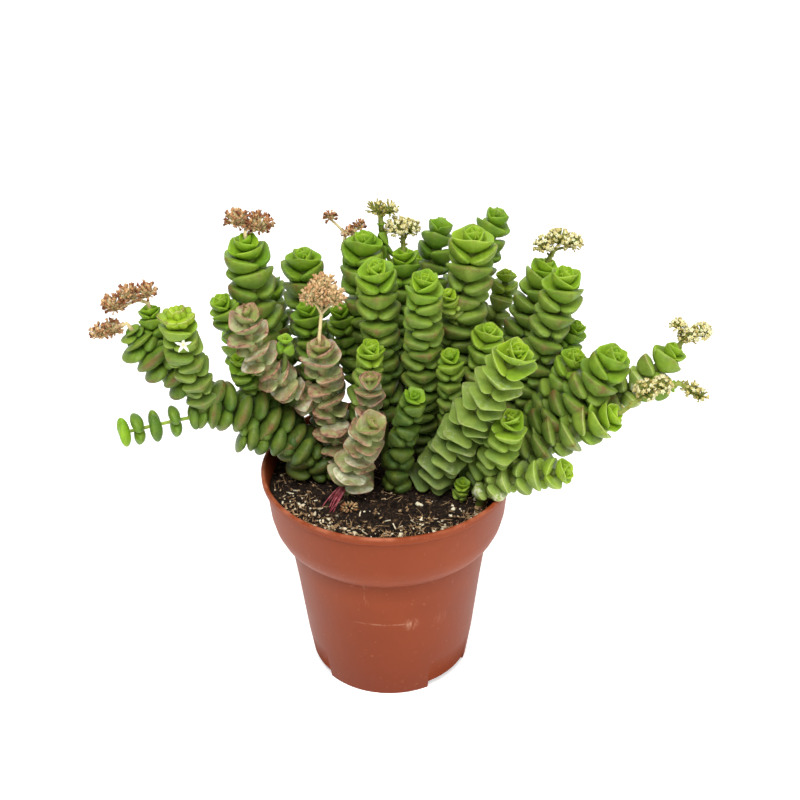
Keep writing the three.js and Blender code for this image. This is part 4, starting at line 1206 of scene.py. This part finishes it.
def leaf_values(route, age, young):
    """The numbers that the finish reads from one leaf: its age, tint, blush and pallor."""
    # Below the third pair the tint drops with age. On living stems this is painted shade on the lower leaves.
    lower_shade_painted = 0.0 if route.name in NO_LOWER_SHADE else min(0.4, 0.03 * max(0.0, age - 3))
    values = dict(age=min(1.0, (1 - young) * 0.35 + 0.65 * age / OLD_AGE))
    values["tint"] = SUN.get(route.name, 0.15) + grower.uniform(-0.15, 0.15) - lower_shade_painted
    if route.name in PAINTED_SHADE_TINTS:
        values["tint"] = PAINTED_SHADE_TINTS[route.name][age >= 1]
    values["blush"] = BLUSH.get(route.name, 0.45) * (1 - young) * grower.uniform(0.5, 1.3)
    values["pale"] = PALE.get(route.name, 0.0) * (1 - young) * grower.random()
    ages, changed = WITHERED.get(route.name, ((), {}))
    if age in ages:
        values.update(changed)
    if route.name in DRY:
        values["blush"] = grower.uniform(0.7, 1.3) * DRY_BLUSH.get(route.name, 1.0)
        values["pale"] = grower.uniform(-0.2, 1.0) * (1 - young)
    return values


print("leaves count as fully old from pair", OLD_AGE, "down")

# %% [markdown]
# The leaves hide the stem itself, except at its bare foot and on the slender shoot. Its core is a tube along
# the route: stout where leaves join it, so that no gap shows between them, and as thin as a stalk below.

# %% Core of a stem
def add_core(bm, fields, route, pairs):
    """The stem itself, thicker where the leaves join it."""
    slender = bool(route.row.get("slender"))
    stalk = max(1.4, 0.2 * route.leaf) * (0.62 if slender else 1)
    leafy_share = 0.22 if route.name in DRY else 0.3
    base = -BURIED if not route.parent else 0.0
    top = pairs[0]["at"] + pairs[0]["reach"] * 0.25
    frames = []
    for mark in np.linspace(base, top, max(4, int((top - base) / 6))):
        centre, heading, out, side = route.frame(mark)
        near = min(pairs, key=lambda pair: abs(pair["at"] - mark))
        leafy_here = mark > pairs[-1]["at"] - 3 and not slender
        radius = leafy_share * near["reach"] if leafy_here else stalk
        frames.append(placed(centre, out * radius, side * radius, heading * radius))
    # A tint of -0.3 gives the core some painted deep shade. The slender shoot's 1.0 paints it as sunlit.
    values = dict(age=0.9, along=0.85, rim=0.2, keel=0.8, under=0.5, tint=-0.3, blush=1.0, pale=0.0)
    if slender:
        values.update(age=0.3, tint=1.0, blush=0.0, under=0.0)
    for vert in tube(bm, frames, 8):
        for name, layer in fields.items():
            vert[layer] = values[name]


print("the foot of a core lies", BURIED, "mm deep in the peat")

# %% [markdown]
# A stem grows pair by pair. Young leaves wrap the bud and are broad for their length. Living leaves stand
# thick and close, dry ones are thin, narrow, wavy and uneven, and those of the arching stems are rounded
# ovals. Every size also varies a little by chance, as in nature.

# %% One stem
def grow(bm, fields, route):
    """The core of one route and both leaves of every pair."""
    dry = route.name in DRY
    slender = bool(route.row.get("slender"))
    rounded = route.name in ROUNDED
    pairs = leaf_pairs(route)
    add_core(bm, fields, route, pairs)
    for pair in pairs:
        centre, heading, out, side = route.frame(pair["at"])
        young = math.exp(-max(0, pair["age"]) / 1.6)
        for half in (0, 180):
            twist = math.radians(pair["turn"] + half + grower.gauss(0, 8.0 if dry else 3.0))
            x_axis = out * math.cos(twist) + side * math.sin(twist)
            y_axis = heading.cross(x_axis)
            reach = pair["reach"] * grower.gauss(1, 0.035)
            broad_age, broader = BROAD_FROM.get(route.name, (0, 1.0))
            if pair["age"] >= broad_age:
                reach *= broader
            lift = pair["lift"] + grower.gauss(0, 2.5)
            thick = max(pair["gap"], 0.36 * reach) * 1.02 * THIN.get(route.name, 1.0)
            lift -= FLAT.get(route.name, 0.0) * (1 - young)
            width, wave, bend = 0.82 + 0.1 * young, 0.0, 0.0
            cup, wrap = 0.04 + 0.21 * young, 0.05 + 0.43 * young
            if rounded:
                lift, cup, wrap, width = 0.3 * lift, 0.03, 0.0, 0.86
            if slender:
                thick, width, cup, wrap = 0.72 * reach, 0.9, 0.05, 0.0
            if dry:
                thick, wave = 0.27 * reach, 0.08 * (1 - young)
                width = grower.uniform(0.58, 0.78) + 0.14 * young
                cup, bend = 0.1 + 0.3 * young, grower.uniform(-0.2, 0.2) * (1 - young)
                lift += grower.gauss(0, 8.0) * (1 - young)
                reach *= grower.uniform(0.86, 1.06)
            reach *= SLIM.get(route.name, 1.0)
            free = route.name in UNCROWDED
            share = 1.0 if free else fitted(route, centre, x_axis, y_axis, heading, reach, lift, width)
            shape = dict(reach=reach * share, width=width / share**0.5, thick=thick, lift=lift)
            shape.update(cup=cup, wrap=wrap, wave=wave, phase=grower.uniform(0, math.tau), bend=bend)
            shape["point"] = 0.0 if rounded else POINTED.get(route.name, LEAST_POINT)
            shape["belly"] = 0.52 if rounded else 0.7
            values = leaf_values(route, pair["age"], young)
            add_leaf(bm, fields, (centre, x_axis, y_axis, heading), shape, values)


print("a stem is a core with both leaves of every pair")

# %% [markdown]
# One stem on the left doesn't end in a tight bud but in a crown of small plump leaves. They are the same
# leaf once more, narrow and thick, set round the tip in two rings. The inner ring stands up and the outer
# one spreads.

# %% Crown of the lobed stem
CROWN_LEAVES = 12


def add_crown(bm, fields, route):
    """The lobed stem ends in two rings of small plump leaves with pink tips."""
    for index in range(CROWN_LEAVES):
        inner = index % 2
        centre, heading, out, side = route.frame(route.length - 1.5 + 1.6 * inner)
        twist = math.tau * index / CROWN_LEAVES + grower.gauss(0, 0.12)
        x_axis = out * math.cos(twist) + side * math.sin(twist)
        lift = 50 if inner else 16
        reach = grower.uniform(5.4, 6.4) if inner else grower.uniform(8.0, 9.4)
        shape = dict(reach=reach, thick=4.6, lift=lift, cup=0.12, width=0.44, point=0.1)
        # A tint of 0.9 paints the crown as sunlit.
        values = dict(age=0.02, tint=0.9, blush=grower.uniform(0.5, 1.2), pale=0.0)
        add_leaf(bm, fields, (centre, x_axis, heading.cross(x_axis), heading), shape, values)


print("the crown has", CROWN_LEAVES, "leaves")

# %% [markdown]
# A branch shares one piece with the stem it grows from, because the frame holds them as one solid. A piece
# has one finish, so the living shoot on a dry stem is a piece of its own. One level of subdivision then
# rounds every leaf, so the spheres stay coarse while they are shaped.

# %% All the stems
def founder(name):
    """The stem of the frame that a branch grows from in the end."""
    return founder(routes[name].row["on"]) if "on" in routes[name].row else name


def leafed(name, grown, dry):
    """One piece for the routes that grow from one stem, for as many of them as share a finish."""
    bm = bmesh.new()
    fields = {field: bm.verts.layers.float.new(field) for field in LEAF_FIELDS}
    for route in grown:
        grow(bm, fields, route)
        if route.name == "left_lobed":
            add_crown(bm, fields, route)
    bmesh.ops.recalc_face_normals(bm, faces=bm.faces)
    finish, slot = (dried, "dry_leaf") if dry else (leafy, "green_leaf")
    stem = finished(bm, f"leaves_{name}", finish.material, [f"stem_{founder(name)}"])
    smooth = stem.modifiers.new("smooth", "SUBSURF")
    smooth.levels = smooth.render_levels = 1
    return triangles(stem)


total = 0
for name in STEMS:
    family = [route for other, route in routes.items() if founder(other) == name]
    alike = [route for route in family if (route.name in DRY) == (name in DRY)]
    total += leafed(name, alike, name in DRY)
    for route in family:
        if route not in alike:
            total += leafed(route.name, [route], False)
print(len(STEMS), "stems,", total, "triangles")

# %% [markdown]
# The oldest stems end in a flower head: a stalk that forks to a few dense balls of tiny five-petalled
# stars. Each star is one small cone of ten sides whose rim is drawn out at every other point. Some heads
# are fresh and cream, with olive calyces showing between the petals. Others have dried to a crumpled brown.

# %% Florets
PETALS = 5
florist = random.Random(5)
FLOWER_FIELDS = ["petal", "tint"]


def floret(bm, layers, place, outward, size, faded, closed, tint):
    """One star, or its dry remains, or a closed bud, looking outward."""
    cone = dict(segments=2 * PETALS, radius1=0.22, radius2=0.8, depth=1.6)
    made = bmesh.ops.create_cone(bm, cap_ends=True, cap_tris=True, **cone)["verts"]
    rim = [vert for vert in made if vert.co.z > 0.5 and vert.co.xy.length > 0.5]
    rim.sort(key=lambda vert: math.atan2(vert.co.y, vert.co.x))
    for index, vert in enumerate(rim):
        petal = index % 2 == 0
        reach = (1.5 if petal else 0.55) * (florist.uniform(0.3, 0.95) if faded else 1)
        vert.co.xy *= 0.45 if closed else reach
        vert.co.z += (0.05 if petal else -0.1) + (florist.uniform(-0.3, 0.9) if faded else 0)
    for vert in made:
        hollow = vert.co.z > 0.5 and vert.co.xy.length < 0.1
        if hollow:
            vert.co.z += 0.3 if closed else -0.35
        vert[layers["petal"]] = 0.0 if vert.co.z < 0 or (hollow and not closed) else 1.0
        vert[layers["tint"]] = tint
    side = outward.cross(Vector((0.3, 0.5, 0.8))).normalized()
    frame_here = placed(place, side * size, outward.cross(side) * size, outward * size)
    turn = Matrix.Rotation(florist.uniform(0, math.tau), 4, "Z")
    bmesh.ops.transform(bm, matrix=frame_here @ turn, verts=made)


def sphere_spots(count):
    """Evenly spread directions, on a spiral from pole to pole."""
    golden = math.pi * (3 - math.sqrt(5))
    for index in range(count):
        level = 1 - 2 * (index + 0.5) / count
        out = math.sqrt(1 - level**2)
        yield Vector((out * math.cos(golden * index), out * math.sin(golden * index), level))


print("a floret is a cone of", 2 * PETALS, "sides")

# %% [markdown]
# Both kinds of flower share one graph. The tint of a floret and a fine mottle choose its place on a ramp of
# petal colours, and its stalk and calyx are mixed from two more.

# %% Flower finishes
def flower_finish(name, petals, calyx, rough):
    """Petals along a ramp of colours, on stalks and calyces of two more."""
    finish = Finish(
        name, Roughness=rough, Specular_IOR_Level=0.25, Subsurface_Weight=0.08, Subsurface_Scale=0.001
    )
    petal, tint = [finish.attribute(field) for field in FLOWER_FIELDS]
    mottle = finish.noise(700, 3)
    stops = zip(np.linspace(0.12, 0.88, len(petals)), petals)
    bloom = finish.ramp(tint * 0.8 + mottle * 0.3, *stops)
    stalk = finish.mix(mottle, calyx[0], calyx[1])
    color = finish.mix(petal.between(0.15, 0.6), stalk, bloom)
    finish.surface(Base_Color=color, Normal=finish.bump(mottle, 0.5, 0.0003))
    return finish


cream = flower_finish(
    "cream_flower",
    [srgb(128, 126, 50), srgb(170, 154, 82), srgb(218, 204, 136), srgb(236, 230, 186)],
    (srgb(112, 128, 48), srgb(150, 156, 78)), 0.7,
)
brown = flower_finish(
    "faded_flower",
    [srgb(104, 60, 34), srgb(156, 96, 62), srgb(196, 146, 98), srgb(226, 190, 140)],
    (srgb(182, 162, 108), srgb(224, 208, 160)), 0.8,
)
print("cream and faded flowers")

# %% [markdown]
# A head starts with its stalk, which forks to the middle of each ball. From there every floret has a
# stalklet of its own, out to an even spiral of directions. The underside of a ball stays bare. Cream heads
# carry a few green bracts on their stalk as well.

# %% Flower heads
FADED = ["left_forked", "left_crown", "left_tall", "dry_flowering", "middle_spray"]
FLORET_AREA = 3.9


def head_stalk(route, heads):
    """Where a head's stalk starts, bends and forks."""
    foot, heading, _, _ = route.frame(route.length + 0.2 * route.leaf)
    neck = foot + heading * 1.6
    middle = sum((Vector(ball[:3]) for ball in heads), Vector()) / len(heads)
    return foot, heading, neck, neck.lerp(middle, 0.6)


CLOSED = {"centre_stalk": 0.85, "centre_inner": 0.35, "right_reach_low": 0.7}
TINTS = {
    "dry_flowering": (0.6, 1.15), "left_tall": (0.0, 0.8),
    "left_forked": (0.0, 0.95), "left_crown": (0.0, 0.9),
}
FLATNESS = 0.9
FULLNESS = 1.1
RAISED = 0.3
BARE_BELOW = -0.55
BRACTS = 7
STALK_RADII = (1.0, 0.95, 0.85, 0.8, 0.8)
florets = 0
for name, heads in HEADS.items():
    bm = bmesh.new()
    layers = {field: bm.verts.layers.float.new(field) for field in FLOWER_FIELDS}
    foot, heading, neck, fork = head_stalk(routes[name], heads)
    spots = [foot - heading * 5, foot, neck, neck.lerp(fork, 0.5), fork]
    faded = name in FADED
    stout = 1.0 if faded else 1.4
    tube(bm, frames_along(spots, [stout * radius for radius in STALK_RADII]), 8)
    for index in range(0 if faded else BRACTS):
        around = Vector((math.cos(2.4 * index), math.sin(2.4 * index), 0.7)).normalized()
        floret(bm, layers, neck.lerp(fork, index / BRACTS) + around * 0.9, around, 1.5, False, True, 0.0)
    for x, y, z, ball in heads:
        radius = ball * FULLNESS
        centre = Vector((x, y, z + RAISED))
        joint = centre - UP * radius * 0.45
        tube(bm, frames_along([fork.lerp(neck, 0.1), fork.lerp(joint, 0.5), joint], [0.7, 0.6, 0.55]), 6)
        for outward in sphere_spots(int(4 * math.pi * radius**2 / FLORET_AREA)):
            if outward.z < BARE_BELOW:
                continue
            outward = (outward + Vector([florist.gauss(0, 0.16) for _ in range(3)])).normalized()
            reach = (radius - 0.6) * florist.uniform(0.7, 1.1)
            spot = centre + Vector((outward.x, outward.y, outward.z * FLATNESS)) * reach
            facing = (outward + UP * 0.35).normalized()
            tube(bm, frames_along([joint, joint.lerp(spot, 0.5), spot - facing * 0.4], [0.4, 0.32, 0.3]), 3)
            closed = not faded and florist.random() < CLOSED.get(name, 0.4)
            low, high = TINTS.get(name, (0.0, 0.9) if faded else (0.45, 1.0))
            tint = florist.uniform(0.0, 0.3) if closed else florist.uniform(low, high)
            floret(bm, layers, spot, facing, florist.uniform(0.8, 1.25), faded, closed, tint)
            florets += 1
    bmesh.ops.recalc_face_normals(bm, faces=bm.faces)
    finish, slot = (brown, "faded_flower") if faded else (cream, "cream_flower")
    finished(bm, f"head_{name}", finish.material, [f"flowers_{name}"])
print(len(HEADS), "heads with", florets, "florets")

# %% [markdown]
# From the low dry stem a bundle of thin red aerial roots reaches down into its pit in the peat. Each root
# is a round tube along a slightly curved path. They leave the stem side by side and spread a little on
# their way.

# %% Aerial roots
ROOT_COUNT = 9
ROOT_SPREAD = 2.3
PIT_SPREAD = 4.4
ROOT_TAPER = (1, 1, 0.98, 0.95, 0.9, 0.85, 0.75, 0.55)
low_stem = routes["dry_low"]
start, _, _, _ = low_stem.frame(4.0)
pit = Vector((PIT[0], PIT[1], soil_top(*PIT)))
towards = Vector((pit.x - start.x, pit.y - start.y, 0)).normalized()
knot = start + towards * 2.6
red = Finish("red_root", Roughness=0.4, Subsurface_Weight=0.15, Subsurface_Scale=0.001)
band = red.noise(420, 3, roughness=0.6)
color = red.ramp(band, (0.3, srgb(112, 32, 44)), (0.5, srgb(164, 62, 76)), (0.72, srgb(206, 128, 128)))
red.surface(Base_Color=color, Normal=red.bump(band, 0.5, 0.0003))
bm = bmesh.new()
aside = towards.cross(UP)
for index in range(ROOT_COUNT):
    place = 2 * (index + 0.5) / ROOT_COUNT - 1
    head = knot + aside * (place * ROOT_SPREAD) + towards * florist.uniform(-1.0, 1.0)
    end = pit + aside * (place * PIT_SPREAD + florist.gauss(0, 0.8)) - UP * 0.8
    end += towards * florist.uniform(-2.5, 2.5)
    sag = Vector((florist.gauss(0, 0.4), florist.gauss(0, 0.4), florist.uniform(0.2, 0.9)))
    spots = [head.lerp(end, step / 6) + sag * math.sin(math.pi * step / 6) for step in range(-1, 7)]
    width = florist.uniform(0.27, 0.42)
    tube(bm, frames_along(spots, [width * share for share in ROOT_TAPER]), 8)
bmesh.ops.recalc_face_normals(bm, faces=bm.faces)
roots = finished(bm, "root_strands", red.material, ["aerial_roots"])
print("roots", triangles(roots), "triangles")

# %% [markdown]
# The lobed stem carries one open white star on its side, far larger than the florets. A circle of twenty
# points is drawn in between its petals, which leaves a star of five, and is then given a thickness. Each
# point also keeps its distance from the middle as a number, and the finish turns that into a yellow heart.

# %% Star flower
white_petal = Finish("white_petal", Roughness=0.55, Subsurface_Weight=0.2, Subsurface_Scale=0.001)
open_way = white_petal.attribute("petal")
white_petal.surface(Base_Color=white_petal.ramp(
    open_way, (0.0, srgb(214, 196, 90)), (0.25, srgb(232, 230, 196)), (0.6, srgb(242, 244, 226))
))
STAR_PLACE = Vector((-86.5, -28.5, 192.4))
STAR_LOOK = Vector((0.05, -0.85, 0.53)).normalized()
STAR_SIZE = 3.9
bm = bmesh.new()
petal_layer = bm.verts.layers.float.new("petal")
star = bmesh.ops.create_circle(bm, cap_ends=True, cap_tris=True, segments=4 * PETALS, radius=1.0)["verts"]
star_rim = [vert for vert in star if vert.co.length > 0.5]
star_rim.sort(key=lambda vert: math.atan2(vert.co.y, vert.co.x))
for index, vert in enumerate(star_rim):
    vert.co *= (1.0, 0.72, 0.3, 0.72)[index % 4]
    vert.co.z = 0.12 * vert.co.length
    vert[petal_layer] = vert.co.length
for index, vert in enumerate(star_rim):
    if index % 2:
        point = star_rim[(index + 1 if index % 4 == 3 else index - 1) % len(star_rim)]
        vert.co = vert.co.lerp(point.co * 0.6, 0.35)
bmesh.ops.solidify(bm, geom=bm.faces[:], thickness=0.1)
side = STAR_LOOK.cross(UP).normalized()
bmesh.ops.transform(
    bm, verts=bm.verts,
    matrix=placed(STAR_PLACE, side * STAR_SIZE, side.cross(STAR_LOOK) * -STAR_SIZE, STAR_LOOK * STAR_SIZE),
)
bmesh.ops.recalc_face_normals(bm, faces=bm.faces)
star_flower = finished(bm, "open_star", white_petal.material, sharp=40)
print("star", triangles(star_flower), "triangles")

# %% [markdown]
# A dry cluster of florets has dropped on the peat in front. It needs nothing new: the faded floret, set on
# the upper part of a flattened ball.

# %% Dropped cluster
CLUSTER = Vector((-17.6, -27.0, 104.2))
CLUSTER_HALVES = (3.2, 2.6, 1.5)
bm = bmesh.new()
layers = {field: bm.verts.layers.float.new(field) for field in FLOWER_FIELDS}
for outward in sphere_spots(46):
    if outward.z > -0.3:
        spot = CLUSTER + Vector([share * half for share, half in zip(outward, CLUSTER_HALVES)])
        floret(bm, layers, spot, outward, florist.uniform(0.7, 1.0), True, False, florist.uniform(0.2, 1.0))
bmesh.ops.recalc_face_normals(bm, faces=bm.faces)
dropped = finished(bm, "dropped_cluster", brown.material)
print("dropped cluster", triangles(dropped), "triangles")
